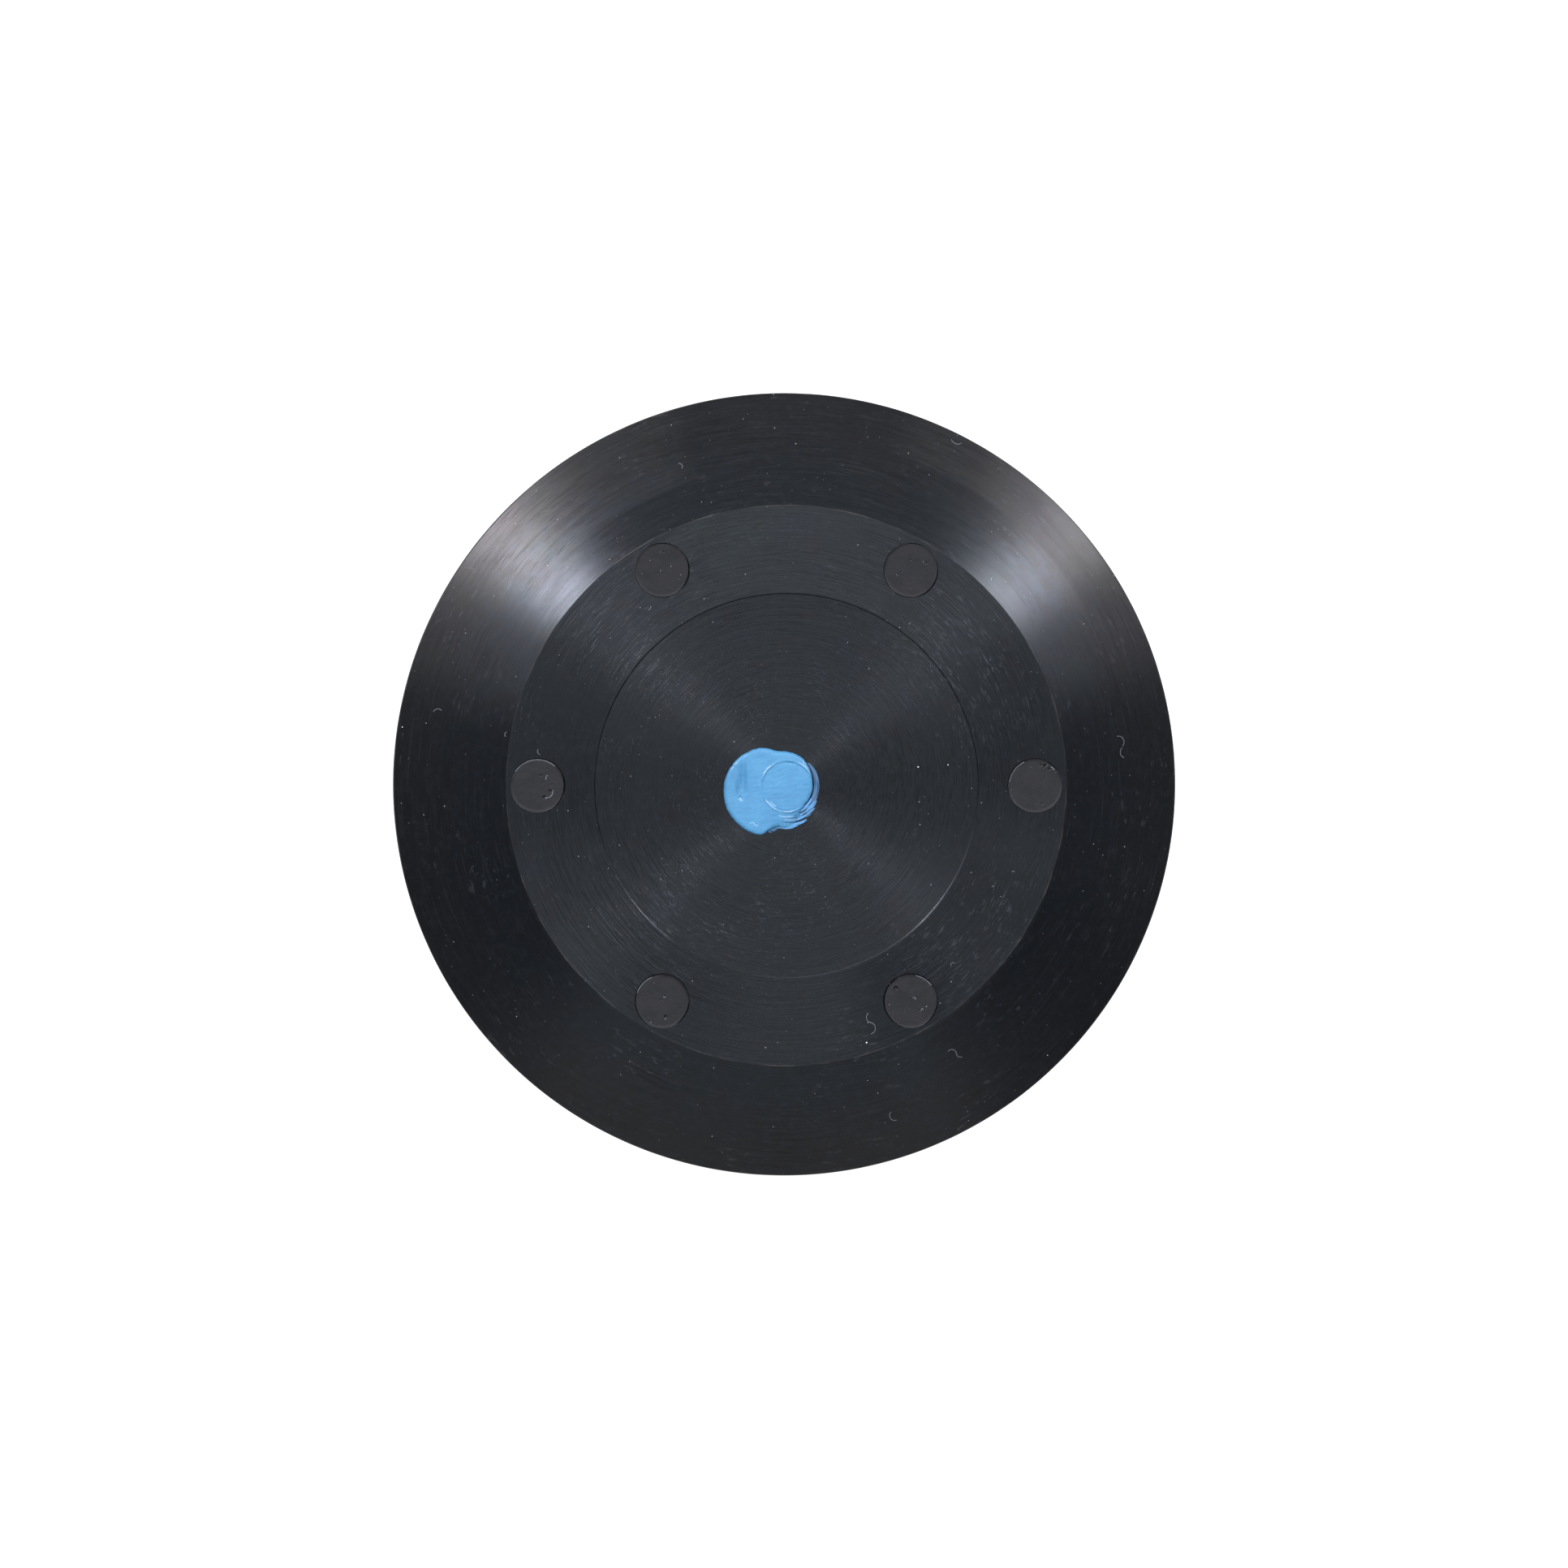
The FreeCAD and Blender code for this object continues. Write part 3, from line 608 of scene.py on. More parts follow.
def screw_place(number):
    """Centre of a screw on the bolt circle, counted anticlockwise from +X."""
    angle = TAU * (number - 1) / SCREW_COUNT
    return Vector((BOLT_RADIUS * math.cos(angle), BOLT_RADIUS * math.sin(angle), 0))


def make_top_cap():
    """Turned cap with its six counterbores and screw holes."""
    edge = 0.05 * MM
    corners = [
        (INLET_RADIUS, POCKET_TOP, 0),
        (POCKET_RADIUS, POCKET_TOP, 0),
        (POCKET_RADIUS, HUB_LOW, 0.1 * MM),
        (HUB_RADIUS, HUB_LOW, 0.3 * MM),
        (HUB_RADIUS, CAP_LOW, 0.3 * MM),
        (SPIGOT_INNER, CAP_LOW, 0.2 * MM),
        (SPIGOT_INNER, CAP_LOW - SPIGOT_HEIGHT, 0.1 * MM),
        (SPIGOT_RADIUS, CAP_LOW - SPIGOT_HEIGHT, 0.1 * MM),
        (SPIGOT_RADIUS, CAP_LOW, 0),
        (CAP_RADIUS, CAP_LOW, RIM_ROUND),
        (CAP_RADIUS, RIM_TOP, RIM_ROUND),
        (FLAT_RADIUS, FLAT_EDGE, 0.15 * MM),
        (STEP_RADIUS, FLAT_TOP, 0.12 * MM),
        (STEP_RADIUS - STEP_DEPTH, STEP_TOP, 0.12 * MM),
        (MOUTH_RADIUS, STEP_TOP, 0.15 * MM),
        (MOUTH_RADIUS, MOUTH_LOW, 0),
        (INLET_RADIUS, MOUTH_LOW, edge),
    ]
    cap = turned("cap_shell", corners)
    for number in range(1, SCREW_COUNT + 1):
        combine(cap, screw_hole_cutter(number, edge), "DIFFERENCE")
    shade(cap.data)
    surface = turned_plastic("cap_acetal", colour(0.0042, 0.0050, 0.0064), 0.30, 0.85)
    nodes, polar = surface.nodes, surface.polar
    shine = nodes.add("ShaderNodeVectorMath", {"operation": "SCALE"}, Vector=surface.sheen,
                      Scale=uneven_shine(nodes, polar))
    nodes.put("Specular Tint", shine.outputs["Vector"])
    tint = add_edge_wear_and_highlights(nodes, polar, surface.tint)
    tint = add_scratch_glints(nodes, polar, tint)
    tint = add_smear(nodes, polar, tint)
    tint = add_curls(nodes, polar.split, tint, LINT, 0.6, colour(0.22, 0.225, 0.24))
    nodes.put("Base Color", tint)
    dress(cap, nodes.material, replaces=["top_cap"])


def screw_hole_cutter(number, edge):
    """Solid that cuts one screw's shank hole and counterbore, with its mouth's edge broken."""
    seat = FLAT_TOP - COUNTERBORE_DEPTH
    mouth = FLAT_TOP - FLAT_FALL * (BOLT_RADIUS - STEP_RADIUS) / (FLAT_RADIUS - STEP_RADIUS)
    cutter = turned(f"cutter_{number}", [
        (0, CAP_LOW - MM, 0),
        (SHANK_HOLE, CAP_LOW - MM, 0),
        (SHANK_HOLE, seat, 0),
        (COUNTERBORE_RADIUS, seat, 0),
        (COUNTERBORE_RADIUS, mouth - edge, 0),
        (COUNTERBORE_RADIUS + 2 * edge, mouth + edge, 0),
        (COUNTERBORE_RADIUS + 2 * edge, FLAT_TOP + MM, 0),
        (0, FLAT_TOP + MM, 0),
    ], steps=HOLE_STEPS, support=NO_SUPPORT)
    cutter.data.transform(Matrix.Translation(screw_place(number)))
    return cutter


def arc_share(angle, middle, half_width):
    """1 at the middle of an arc, falling smoothly to 0 at its ends; angles in degrees."""
    away = abs((angle - middle + 180) % 360 - 180)
    if away >= half_width:
        return 0.0
    return 0.5 + 0.5 * math.cos(math.pi * away / half_width)


# Arcs where the potting has shrunk off its wall, for each plug: (middle, half width) in degrees.
SHRUNK_ARCS = {
    1: [(48, 16)],
    2: [(80, 22), (-28, 52)],
    3: [(90, 42), (-14, 44)],
    4: [(-12, 42)],
    5: [(190, 52), (-30, 30)],
    6: [(195, 62), (-22, 40), (140, 18)],
}
# Arcs where the potting's edge rolls over and catches the light, for the plugs that have one.
ROLLED_ARCS = {
    1: [(148, 40)],
    4: [(98, 72)],
    5: [(122, 40)],
    6: [(58, 26)],
}
# Burst bubbles in each plug's face: (x, y, radius) in millimetres from its middle.
BUBBLES = {
    1: [(1.3, 2.45, 0.30), (0.75, 2.6, 0.16), (1.75, 2.1, 0.2), (0.9, -2.3, 0.14)],
    2: [(1.9, 0.9, 0.13), (-1.7, -0.6, 0.12), (0.0, 1.3, 0.1)],
    3: [(1.0, 0.45, 0.13), (-0.5, -0.4, 0.12), (0.2, 2.3, 0.12)],
    4: [(0.85, -1.5, 0.26), (1.6, -0.7, 0.22), (0.4, 1.3, 0.15), (1.8, 0.1, 0.12)],
    5: [(0.3, 0.6, 0.16), (0.45, -2.0, 0.22), (-0.2, 0.2, 0.1)],
    6: [(0.3, 0.3, 0.15), (-1.9, 1.6, 0.3), (1.9, -0.6, 0.13), (1.2, -1.2, 0.14)],
}


def plug_face(number, x, y, radius):
    """Height of a plug's face above its dish, in millimetres: raised lip, sunk arcs, bubbles."""
    share = math.hypot(x, y) / radius
    angle = math.degrees(math.atan2(y, x))
    sunk = max(arc_share(angle, *arc) for arc in SHRUNK_ARCS[number])
    rolled = max((arc_share(angle, *arc) for arc in ROLLED_ARCS.get(number, [])), default=0.0)
    edge = max(0.0, (share - 0.88) / 0.12)
    lip = (0.07 * (1 - sunk) * (1 - rolled) - 0.08 * min(1.0, 2 * rolled)) * edge ** 2
    gap_width = 0.014 + 0.018 * sunk
    lip -= 0.5 * min(1.0, 3 * sunk) * min(1.0, max(0.0, (share - 1 + gap_width) / 0.012))
    uneven = 0.030 * noise.noise(Vector((x * 0.55, y * 0.55, 7.3 * number)))
    grain = 0.008 * noise.noise(Vector((x * 3.1, y * 3.1, 3.1 * number)))
    pits = 0.0
    for bubble_x, bubble_y, size in BUBBLES[number]:
        away = math.hypot(x - bubble_x, y - bubble_y) / size
        if away < 1.0:
            pits -= 0.8 * size * math.sqrt(1 - away * away)
        elif away < 1.6:
            pits += 0.20 * size * (1.6 - away)
    return lip + uneven + grain + pits


def plug_shares():
    """Radii of a plug's face rings as shares of its own, close together near the wall."""
    inner = [step / 40 * 0.94 for step in range(40)]
    outer = [0.94 + 0.06 * step / 14 for step in range(15)]
    return inner + outer


def make_screw_plug(number, material):
    """Potting over one clamp screw: a skirt round its head and an uneven dished face."""
    node = f"screw_plug_{number}"
    low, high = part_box(node)
    middle = (low + high) / 2
    wall = (high.x - low.x) / 2
    head_top = low.z + 3.0 * MM
    head_radius = 2.76 * MM
    dish = high.z - 0.07 * MM
    shares = plug_shares()
    corners = [
        (head_radius, head_top, 0),
        (head_radius, low.z, 0),
        (wall, low.z, 0),
    ]
    corners += [(wall * share, dish, 0) for share in reversed(shares)]
    corners += [(0, head_top, 0)]
    plug = turned(f"potting_{number}", corners, steps=180, support=NO_SUPPORT, crease_degrees=70)
    for vertex in plug.data.vertices:
        if vertex.co.z > dish - 0.01 * MM:
            x, y = vertex.co.x / MM, vertex.co.y / MM
            vertex.co.z = dish + MM * plug_face(number, x, y, wall / MM)
    plug.data.transform(Matrix.Translation((middle.x, middle.y, 0)))
    dress(plug, material, replaces=[node])


def potting_material():
    """Cast compound: dark brownish grey, satin, faintly mottled and dusty, with painted glints."""
    nodes = Nodes("potting_compound")
    place = nodes.add("ShaderNodeTexCoord").outputs["Object"]
    cloud = nodes.noise(place, 420.0, 3.0)
    mottled = nodes.noise(place, 1500.0, 4.0)
    blend = nodes.plus(nodes.times(cloud, 0.6), nodes.times(mottled, 0.4))
    dark, pale = colour(0.0086, 0.0088, 0.0104), colour(0.0152, 0.0136, 0.0144)
    tint = nodes.mix(nodes.ramp(blend, 0.38, 0.62), dark, pale)
    tint = add_dust(nodes, place, tint)
    split = nodes.add("ShaderNodeSeparateXYZ", Vector=place)
    # Painted highlights: glints in the bubbles and along the plugs' edges.
    tint = add_curls(nodes, split, tint, GLINTS, 0.6, colour(0.45, 0.47, 0.51), 0.030 * MM)
    nodes.put("Base Color", tint)
    grain = nodes.noise(place, 5200.0, 3.0)
    nodes.put("Normal", nodes.bump(grain, 0.01 * MM, 0.35))
    nodes.put("Roughness", nodes.ramp(cloud, 0.3, 0.7, 0.45, 0.58))
    nodes.put("Specular IOR Level", 0.42)
    return nodes.material


# Edge of the seal's flange, in millimetres from the inlet's middle, anticlockwise.
SEAL_EDGE = [
    (3.34, 0.25), (3.15, 1.55), (2.55, 2.85), (1.75, 3.72), (0.30, 4.30), (-1.25, 4.42),
    (-2.30, 4.72), (-3.60, 4.76), (-5.20, 4.16), (-6.60, 3.05), (-7.65, 1.40), (-8.02, -0.50),
    (-7.75, -2.55), (-6.95, -4.05), (-5.75, -5.30), (-4.45, -6.05), (-3.25, -6.30),
    (-2.30, -5.75), (-1.40, -5.25), (-0.40, -5.35), (0.55, -5.05), (1.35, -4.25), (1.80, -3.30),
    (2.30, -2.45), (2.90, -1.65), (3.26, -0.75),
]
SEAL_CENTRE = (-1.9, -0.7)
DISC_CENTRE = (0.04, -0.06)
DISC_RADIUS = 3.28
# Where the lip round the disc stands highest: middle and half width in degrees, and its share.
LIP_ARCS = [(142, 40, 0.65), (262, 56, 0.90), (40, 40, 0.4)]


def closed_spline(points, steps):
    """Points along a smooth closed curve through the given ones (Catmull-Rom)."""
    result = []
    count = len(points)
    for index in range(count):
        a, b, c, d = (Vector(points[(index + shift) % count]) for shift in (-1, 0, 1, 2))
        for step in range(steps):
            t = step / steps
            result.append(0.5 * (
                2 * b + (c - a) * t + (2 * a - 5 * b + 4 * c - d) * t ** 2
                + (3 * b - a - 3 * c + d) * t ** 3
            ))
    return result


def seal_angle(x, y):
    """Direction from the seal's middle, in degrees."""
    return math.degrees(math.atan2(y - SEAL_CENTRE[1], x - SEAL_CENTRE[0]))


def seal_face(x, y, edge_distance):
    """Height of the seal's top above the cap, in millimetres."""
    disc_x, disc_y = x - DISC_CENTRE[0], y - DISC_CENTRE[1]
    from_disc = math.hypot(disc_x, disc_y)
    disc_angle = math.degrees(math.atan2(disc_y, disc_x))
    thin = arc_share(seal_angle(x, y), -58, 38)
    full = 0.36 - 0.16 * thin
    edge = 1 - math.exp(-edge_distance / (0.13 + 0.25 * thin))
    height = full * edge
    height += 0.030 * noise.noise(Vector((x * 0.5, y * 0.5, 2.0))) * edge
    height += 0.012 * noise.noise(Vector((x * 0.9 + y * 0.4, y * 3.1 - x, 5.0))) * edge
    height -= 0.17 * math.exp(-((x + 5.55) / 0.42) ** 2 - ((y - 1.0) / 2.3) ** 2)
    height -= 0.12 * math.exp(-((x + 6.15) / 0.30) ** 2 - ((y + 0.5) / 0.9) ** 2)
    height -= 0.13 * math.exp(-((x + 5.85) / 0.20) ** 2 - ((y + 1.55) / 0.26) ** 2)
    lip = math.exp(-((from_disc - DISC_RADIUS) / 0.11) ** 2)
    lip *= 0.10 + sum(share * arc_share(disc_angle, middle, half) for middle, half, share in LIP_ARCS)
    ragged = 0.75 + 0.5 * noise.noise(Vector((disc_angle * 0.11, from_disc * 4, 9.0)))
    height += 0.150 * lip * ragged * min(1.0, edge_distance / 0.08)
    if from_disc < DISC_RADIUS:
        sunk = min(1.0, (DISC_RADIUS - from_disc) / 0.30)
        height += (0.30 - full) * sunk * min(1.0, edge_distance / 0.2)
        top_smudge = arc_share(disc_angle, 82, 22) * math.exp(-((from_disc - 3.0) / 0.12) ** 2)
        height -= 0.10 * top_smudge
    return min(max(height, 0.012), 0.505)


def make_inlet_seal():
    """Soft seal: a spread flange with a lipped disc over the inlet, and a stem below it."""
    rings = 120
    centre = Vector(SEAL_CENTRE)
    edge = []
    for point in closed_spline(SEAL_EDGE, 22):
        torn = arc_share(seal_angle(point.x, point.y), -70, 26)
        jitter = noise.noise(Vector((point.x * 2.2, point.y * 2.2, 4.0)))
        edge.append(point + (point - centre).normalized() * jitter * (0.05 + 0.25 * torn))
    bm = bmesh.new()
    top = []
    for ring in range(1, rings + 1):
        share = 1 - (1 - ring / rings) ** 1.25
        row = []
        for point in edge:
            place = centre + (point - centre) * share
            away = (point - centre).length * (1 - share)
            height = seal_face(place.x, place.y, away)
            row.append(bm.verts.new((place.x * MM, place.y * MM, STEP_TOP + height * MM)))
        top.append(row)
    middle = seal_face(centre.x, centre.y, 5.0)
    hub = bm.verts.new((centre.x * MM, centre.y * MM, STEP_TOP + middle * MM))
    join_rings(bm, [hub], top[0])
    for inner, outer in zip(top, top[1:]):
        join_rings(bm, inner, outer)
    under = STEP_TOP + 0.004 * MM
    base = [bm.verts.new((vertex.co.x, vertex.co.y, under)) for vertex in top[-1]]
    join_rings(bm, top[-1], base)
    bm.faces.new(base)
    crease = 60
    seal = finish_mesh("seal_flange", bm, crease)
    stem_radius = 2.95 * MM
    stem_top = STEP_TOP + 0.1 * MM
    stem = turned("seal_stem", [
        (0, seal_low.z, 0),
        (stem_radius, seal_low.z, 0.3 * MM),
        (stem_radius, stem_top, 0),
        (0, stem_top, 0),
    ], steps=96)
    combine(seal, stem, "UNION")
    shade(seal.data, crease)
    dress(seal, seal_material(), body="seal", replaces=["inlet_seal"])


# Painted shade in the dents in the seal's left side, in millimetres: middle, half width, half height,
# share.
DENT_SHADES = [(-5.5, 1.1, 0.45, 2.0, 0.20), (-6.1, -0.5, 0.35, 1.0, 0.28)]


def seal_material():
    """Light blue soft compound: glossy, streaked by hand, with painted shade in its dents, darker
    towards its left side, dark where wiped thin over the cap, with painted glints.
    """
    nodes = Nodes("blue_compound")
    polar = nodes.polar()
    place, split = polar.place, polar.split
    wiped = nodes.add("ShaderNodeMapping", Vector=place)
    wiped.inputs["Scale"].default_value = (420.0, 2600.0, 400.0)
    wiped.inputs["Rotation"].default_value = (0, 0, -0.55)
    streaks = nodes.noise(wiped.outputs[0], 1.0, 4.0)
    cloud = nodes.noise(place, 330.0, 3.0)
    fine = nodes.noise(place, 2600.0, 3.0)
    blend = nodes.plus(nodes.times(streaks, 0.4), nodes.times(cloud, 0.6))
    deep, pale = colour(0.092, 0.308, 0.535), colour(0.112, 0.362, 0.598)
    tint = nodes.mix(nodes.ramp(blend, 0.38, 0.62), deep, pale)

    dent_shade = 0.0
    for x, y, wide, tall, share in DENT_SHADES:
        right = nodes.math("DIVIDE", nodes.math("SUBTRACT", split.outputs["X"], x * MM), wide * MM)
        over = nodes.math("DIVIDE", nodes.math("SUBTRACT", split.outputs["Y"], y * MM), tall * MM)
        dent = nodes.ramp(nodes.length(right, over), 0.0, 1.4, share, 0.0)
        dent_shade = nodes.math("MAXIMUM", dent, dent_shade)
    # Painted shade: the dents drawn darker.
    tint = nodes.mix(dent_shade, tint, colour(0.07, 0.18, 0.33))
    # Darker towards the seal's left side.
    left_side = nodes.ramp(split.outputs["X"], -8.0 * MM, -3.5 * MM, 0.14, 0.0)
    tint = nodes.mix(left_side, tint, colour(0.06, 0.20, 0.36))

    along = nodes.math("SUBTRACT", split.outputs["X"], split.outputs["Y"])
    torn = nodes.ramp(along, 2.8 * MM, 6.2 * MM)
    torn = nodes.times(torn, nodes.ramp(polar.radius, 3.40 * MM, 3.65 * MM))
    wiped_rings = nodes.rings(polar, 0.20 * MM, 1.3)
    wipes = nodes.times(nodes.ramp(wiped_rings, 0.50, 0.60, 0.0, 0.85), torn)
    tint = nodes.mix(wipes, tint, colour(0.035, 0.06, 0.12))
    # Painted highlights round the seal's disc, in its dents and at its wiped edge.
    tint = add_curls(nodes, split, tint, SEAL_GLINTS, 0.55, colour(0.55, 0.72, 0.86))
    nodes.put("Base Color", tint)

    height = nodes.plus(nodes.times(streaks, 0.8), nodes.times(fine, 0.5))
    nodes.put("Normal", nodes.bump(height, 0.03 * MM, 0.6))
    nodes.put("Roughness", nodes.ramp(cloud, 0.3, 0.7, 0.20, 0.30))
    nodes.put("Subsurface Weight", 0.12)
    nodes.put("Subsurface Radius", (0.4, 0.8, 1.0))
    nodes.put("Subsurface Scale", 0.3 * MM)
    return nodes.material


def stone_outline():
    """The stone ring's outline, divided finely enough for its pores, most finely outside."""
    outer = stone_high.x
    chamfer = 0.5 * MM
    corners = rounded_outline([
        (STONE_INNER, stone_low.z, chamfer),
        (outer, stone_low.z, chamfer),
        (outer, stone_high.z, chamfer),
        (STONE_INNER, stone_high.z, chamfer),
    ], arc_steps=3)
    near_outside = outer - 0.01 * MM
    points = []
    for index, here in enumerate(corners):
        points.append(here)
        following = corners[(index + 1) % len(corners)]
        length = (following - here).length
        if here.x > near_outside and following.x > near_outside:
            rows = 46
        elif length > (stone_high.z - stone_low.z) / 2:
            rows = 14
        else:
            rows = 10 if length > 2 * MM else 1
        points += [here.lerp(following, step / rows) for step in range(1, rows)]
    return points


def make_stone_ring():
    """Porous ring: its grains and open pores are in the mesh on every face."""
    columns = 900
    middle = (stone_high.x + STONE_INNER) / 2
    bm = bmesh.new()
    rings = []
    for point in stone_outline():
        side = -1 if point.x > middle else 1
        ring = []
        for step in range(columns):
            angle = TAU * step / columns
            out = Vector((math.cos(angle), math.sin(angle), 0))
            place = out * point.x + Vector((0, 0, point.y))
            depth = stone_pit(place / MM) * MM
            ring.append(bm.verts.new(place + out * side * depth))
        rings.append(ring)
    for index, ring in enumerate(rings):
        join_rings(bm, ring, rings[(index + 1) % len(rings)])
    stone = finish_mesh("stone_porous", bm, 180)
    dress(stone, stone_material(), replaces=["stone_ring"])


def stone_pit(place):
    """How far a point of the stone lies below its outer skin, in millimetres."""
    bump = noise.voronoi(place * 1.25)[0][0]
    pore = max(0.0, noise.noise(place * 1.9) - 0.18)
    fine = 0.5 + 0.5 * noise.noise(place * 4.3)
    return 0.02 + 0.16 * bump + 0.55 * pore + 0.05 * fine


def stone_material():
    """Sintered mineral grains: greys and tans, with painted shade in the pores and hollows."""
    nodes = Nodes("porous_mineral")
    place = nodes.add("ShaderNodeTexCoord").outputs["Object"]
    grains = nodes.add("ShaderNodeTexVoronoi", Vector=place, Scale=1900.0)
    each = nodes.add("ShaderNodeSeparateColor", Color=grains.outputs["Color"]).outputs[0]
    cloud = nodes.noise(place, 90.0, 4.0)
    tint = nodes.mix(each, colour(0.30, 0.275, 0.24), colour(0.56, 0.53, 0.48))
    tint = nodes.mix(nodes.ramp(cloud, 0.4, 0.7, 0.0, 0.35), tint, colour(0.36, 0.31, 0.25))
    # Painted shade: concave places, found by their pointiness, drawn dark.
    pore_shade = nodes.add("ShaderNodeNewGeometry").outputs["Pointiness"]
    tint = nodes.mix(nodes.ramp(pore_shade, 0.42, 0.50), colour(0.06, 0.055, 0.05), tint)
    nodes.put("Base Color", tint)
    height = nodes.math("SUBTRACT", 1.0, grains.outputs["Distance"])
    fine = nodes.noise(place, 7000.0, 3.0)
    height = nodes.plus(height, nodes.times(fine, 0.4))
    nodes.put("Normal", nodes.bump(height, 0.16 * MM, 0.8))
    nodes.put("Roughness", 0.92)
    nodes.put("Specular IOR Level", 0.25)
    return nodes.material


def rubber_material(name, base, scale):
    """Moulded or die-cut rubber: near black, matte, with a fine bloom."""
    nodes = Nodes(name)
    place = nodes.add("ShaderNodeTexCoord").outputs["Object"]
    bloom = nodes.noise(place, 260.0, 5.0)
    lighter = scaled(base, 2.2)
    nodes.put("Base Color", nodes.mix(nodes.ramp(bloom, 0.4, 0.75), base, lighter))
    grain = nodes.noise(place, scale, 3.0)
    nodes.put("Normal", nodes.bump(grain, 0.03 * MM, 0.6))
    nodes.put("Roughness", nodes.ramp(bloom, 0.3, 0.7, 0.62, 0.8))
    return nodes.material


def make_gaskets(material):
    """Two flat die-cut rings with rounded outer edges."""
    for node, low, high in (
        ("upper_gasket", upper_low, upper_high),
        ("lower_gasket", lower_low, lower_high),
    ):
        ring = turned(node.replace("gasket", "seal_ring"), [
            (STONE_INNER, low.z, 0.1 * MM),
            (high.x, low.z, 0.3 * MM),
            (high.x, high.z, 0.3 * MM),
            (STONE_INNER, high.z, 0.1 * MM),
        ])
        dress(ring, material, replaces=[node])


def make_base_plate():
    """Turned base with its ballast seat, foot groove, spigot and six drilled posts."""
    low = base_low.z
    radius = base_high.x
    bevel = 2.0 * MM
    lip = 0.4 * MM
    seat_radius = 25.7 * MM
    seat = BASE_TOP - 3.0 * MM
    screw_bore = 2.05 * MM
    screw_end = seat - 4.0 * MM
    groove_top = foot_high.z
    base = turned("base_shell", [
        (0, low, 0),
        (GROOVE_INNER, low, 0.15 * MM),
        (GROOVE_INNER, groove_top, 0),
        (GROOVE_OUTER, groove_top, 0),
        (GROOVE_OUTER, low, 0.15 * MM),
        (radius - bevel, low, 0.3 * MM),
        (radius, low + bevel, 0.3 * MM),
        (radius, BASE_TOP - lip, 0.1 * MM),
        (radius - lip, BASE_TOP, 0.1 * MM),
        (SPIGOT_RADIUS, BASE_TOP, 0),
        (SPIGOT_RADIUS, BASE_TOP + SPIGOT_HEIGHT, 0.2 * MM),
        (SPIGOT_INNER, BASE_TOP + SPIGOT_HEIGHT, 0.2 * MM),
        (SPIGOT_INNER, BASE_TOP, 0),
        (seat_radius, BASE_TOP, 0.2 * MM),
        (seat_radius, seat, 0),
        (screw_bore, seat, 0.2 * MM),
        (screw_bore, screw_end, 0),
        (0, screw_end, 0),
    ])
    for number in range(1, SCREW_COUNT + 1):
        combine(base, insert_post(number), "UNION")
    shade(base.data)
    surface = turned_plastic("base_acetal", colour(0.0060, 0.0066, 0.0080), 0.36, 0.8)
    dress(base, surface.nodes.material, replaces=["base_plate"])


def insert_post(number):
    """One of the base's posts, bored for its threaded insert and sunk a little into the base."""
    radius = 4.5 * MM
    foot = BASE_TOP - 0.5 * MM
    top = base_high.z
    insert_bore = 2.31 * MM
    insert_end = top - 8.0 * MM
    post = turned("post", [
        (0, foot, 0),
        (radius, foot, 0),
        (radius, top, 0.3 * MM),
        (insert_bore, top, 0.1 * MM),
        (insert_bore, insert_end, 0),
        (0, insert_end, 0),
    ], steps=64, support=NO_SUPPORT)
    post.data.transform(Matrix.Translation(screw_place(number)))
    return post


def make_foot_ring(material):
    """Rubber ring with a rounded tread, seated in the base's groove."""
    inner = GROOVE_INNER + FOOT_GAP
    outer = GROOVE_OUTER - FOOT_GAP
    ring = turned("foot_tread", [
        (inner, foot_low.z, 0.6 * MM),
        (outer, foot_low.z, 0.6 * MM),
        (outer, foot_high.z, 0.1 * MM),
        (inner, foot_high.z, 0.1 * MM),
    ])
    dress(ring, material, replaces=["foot_ring"])


def metal_material(name, base, roughness):
    """Machined metal: fine marks, small changes in gloss."""
    nodes = Nodes(name)
    place = nodes.add("ShaderNodeTexCoord").outputs["Object"]
    marks = nodes.noise(place, 2600.0, 4.0)
    darker = scaled(base, 0.8)
    nodes.put("Base Color", nodes.mix(nodes.ramp(marks, 0.3, 0.7), darker, base))
    nodes.put("Normal", nodes.bump(marks, 0.01 * MM, 0.5))
    gloss = nodes.ramp(marks, 0.3, 0.7, roughness, roughness + 0.12)
    nodes.put("Roughness", gloss)
    nodes.put("Metallic", 1.0)
    return nodes.material


def dress_hidden_nodes(rubber, plastic):
    """Materials for the pieces inside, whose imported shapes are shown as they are."""
    steel = metal_material("stainless_steel", colour(0.62, 0.62, 0.63), 0.24)
    brass = metal_material("turned_brass", colour(0.78, 0.60, 0.28), 0.26)
    looks = {
        "ballast_disc": steel,
        "ballast_screw": steel,
        "inlet_o_ring": rubber,
        "inlet_retainer": plastic,
    }
    for number in range(1, SCREW_COUNT + 1):
        looks[f"clamp_screw_{number}"] = steel
        looks[f"threaded_insert_{number}"] = brass
    for node, material in looks.items():
        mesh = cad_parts[node].data
        mesh.materials.clear()
        mesh.materials.append(material)


make_top_cap()
potting = potting_material()
for plug_number in range(1, SCREW_COUNT + 1):
    make_screw_plug(plug_number, potting)
make_inlet_seal()
make_stone_ring()
gasket_rubber = rubber_material("gasket_rubber", colour(0.012, 0.012, 0.013), 3200.0)
foot_rubber = rubber_material("foot_rubber", colour(0.016, 0.016, 0.017), 2400.0)
make_gaskets(gasket_rubber)
make_base_plate()
make_foot_ring(foot_rubber)
retainer_surface = turned_plastic("retainer_acetal", colour(0.006, 0.0066, 0.008), 0.36, 0.8)
dress_hidden_nodes(gasket_rubber, retainer_surface.nodes.material)


# Floor, lights and camera

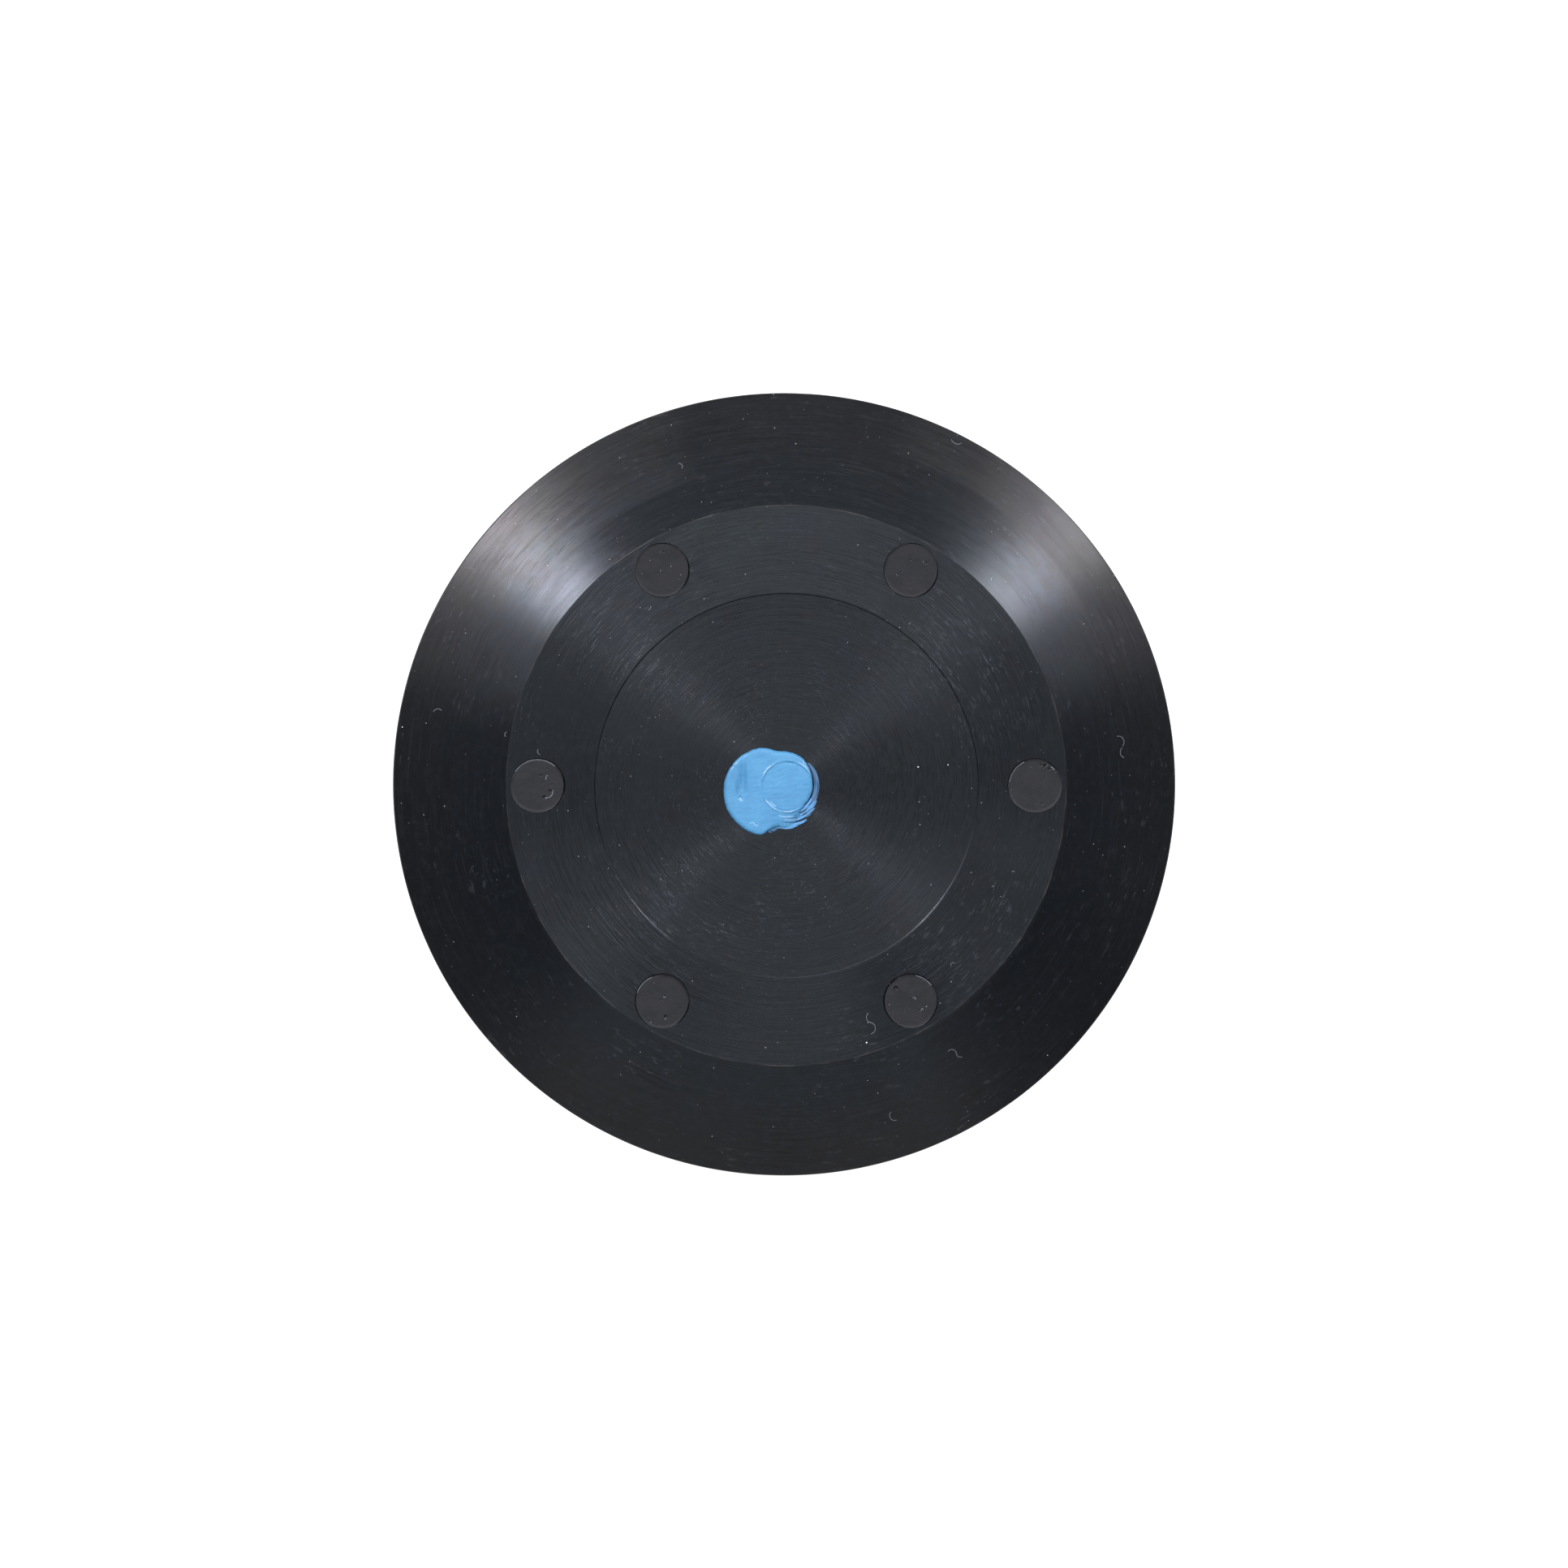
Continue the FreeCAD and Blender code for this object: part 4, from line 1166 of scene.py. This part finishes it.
def make_floor():
    """Pale floor that carries on past every view."""
    bpy.ops.mesh.primitive_plane_add(size=30.0, location=(0, 0, -0.05 * MM))
    floor = bpy.context.object
    floor.name = "floor"
    nodes = Nodes("pale_floor")
    nodes.put("Base Color", colour(0.42, 0.42, 0.42))
    nodes.put("Roughness", 0.9)
    nodes.put("Specular IOR Level", 0.1)
    nodes.put("Emission Color", colour(1, 1, 1))
    nodes.put("Emission Strength", 0.96)
    floor.data.materials.append(nodes.material)


def softbox(name, azimuth, elevation, distance, size, radiance, tone):
    """Area light that faces the object; azimuth is from +X, anticlockwise, seen from above."""
    light = bpy.data.lights.new(name, "AREA")
    light.shape = "RECTANGLE"
    light.size, light.size_y = size
    light.energy = radiance * math.pi * size[0] * size[1]
    light.color = tone
    lamp = bpy.data.objects.new(name, light)
    bpy.context.scene.collection.objects.link(lamp)
    turn, rise = math.radians(azimuth), math.radians(elevation)
    flat = math.cos(rise)
    away = Vector((math.cos(turn) * flat, math.sin(turn) * flat, math.sin(rise)))
    lamp.location = Vector((0, 0, RIM_TOP)) + away * distance
    lamp.rotation_mode = "QUATERNION"
    lamp.rotation_quaternion = away.to_track_quat("Z", "Y")


KEY_SHADE = (0.965, 0.985, 1.11)
FILL_SHADE = (0.94, 1.0, 1.08)


def make_lights():
    """Two strong softboxes at the upper corners with wide weak ones, and four weak panels."""
    softbox("key_left", 138.1, 41, 2.4, (0.33, 0.84), 38.5, KEY_SHADE)
    softbox("key_right", 38.0, 41, 2.4, (0.34, 0.84), 25.6, KEY_SHADE)
    softbox("key_left_spill", 145, 41, 2.5, (1.2, 1.2), 1.75, KEY_SHADE)
    softbox("key_right_spill", 34, 41, 2.5, (1.2, 1.2), 1.9, KEY_SHADE)
    softbox("top_fill", 90, 45, 2.8, (3.2, 0.8), 0.16, FILL_SHADE)
    softbox("top_high", 90, 68, 3.0, (2.0, 1.0), 1.50, FILL_SHADE)
    softbox("front_fill", -91, 45, 2.8, (3.6, 1.2), 0.76, FILL_SHADE)
    softbox("overhead", 90, 79, 3.6, (2.2, 2.6), 1.06, FILL_SHADE)
    world = bpy.data.worlds.new("studio")
    bpy.context.scene.world = world
    world.use_nodes = True
    background = world.node_tree.nodes["Background"]
    background.inputs["Color"].default_value = colour(0.90, 0.98, 1.06)
    background.inputs["Strength"].default_value = 0.12


def make_camera():
    """Long lens looking straight down, leaning a little from the left and from the top."""
    distance = 1.8
    lean_left = math.radians(2.2)
    lean_top = math.radians(1.3)
    share_of_view = 0.4993
    view_width = 2 * CAP_RADIUS / share_of_view
    camera_data = bpy.data.cameras.new("camera")
    camera_data.sensor_width = 36.0
    camera_data.lens = camera_data.sensor_width * distance / view_width
    camera_data.clip_start = 0.01
    camera = bpy.data.objects.new("camera", camera_data)
    bpy.context.scene.collection.objects.link(camera)
    target = Vector((-0.08 * MM, 0.07 * MM, RIM_TOP))
    away = Vector((-math.tan(lean_left), math.tan(lean_top), 1.0)).normalized()
    camera.location = target + away * distance
    across = (Vector((1, 0, 0)) - away * away.x).normalized()
    turn = Matrix((across, away.cross(across), away)).transposed()
    camera.rotation_euler = turn.to_euler()
    bpy.context.scene.camera = camera


make_floor()
make_lights()
make_camera()
bpy.context.scene.view_settings.view_transform = "Standard"
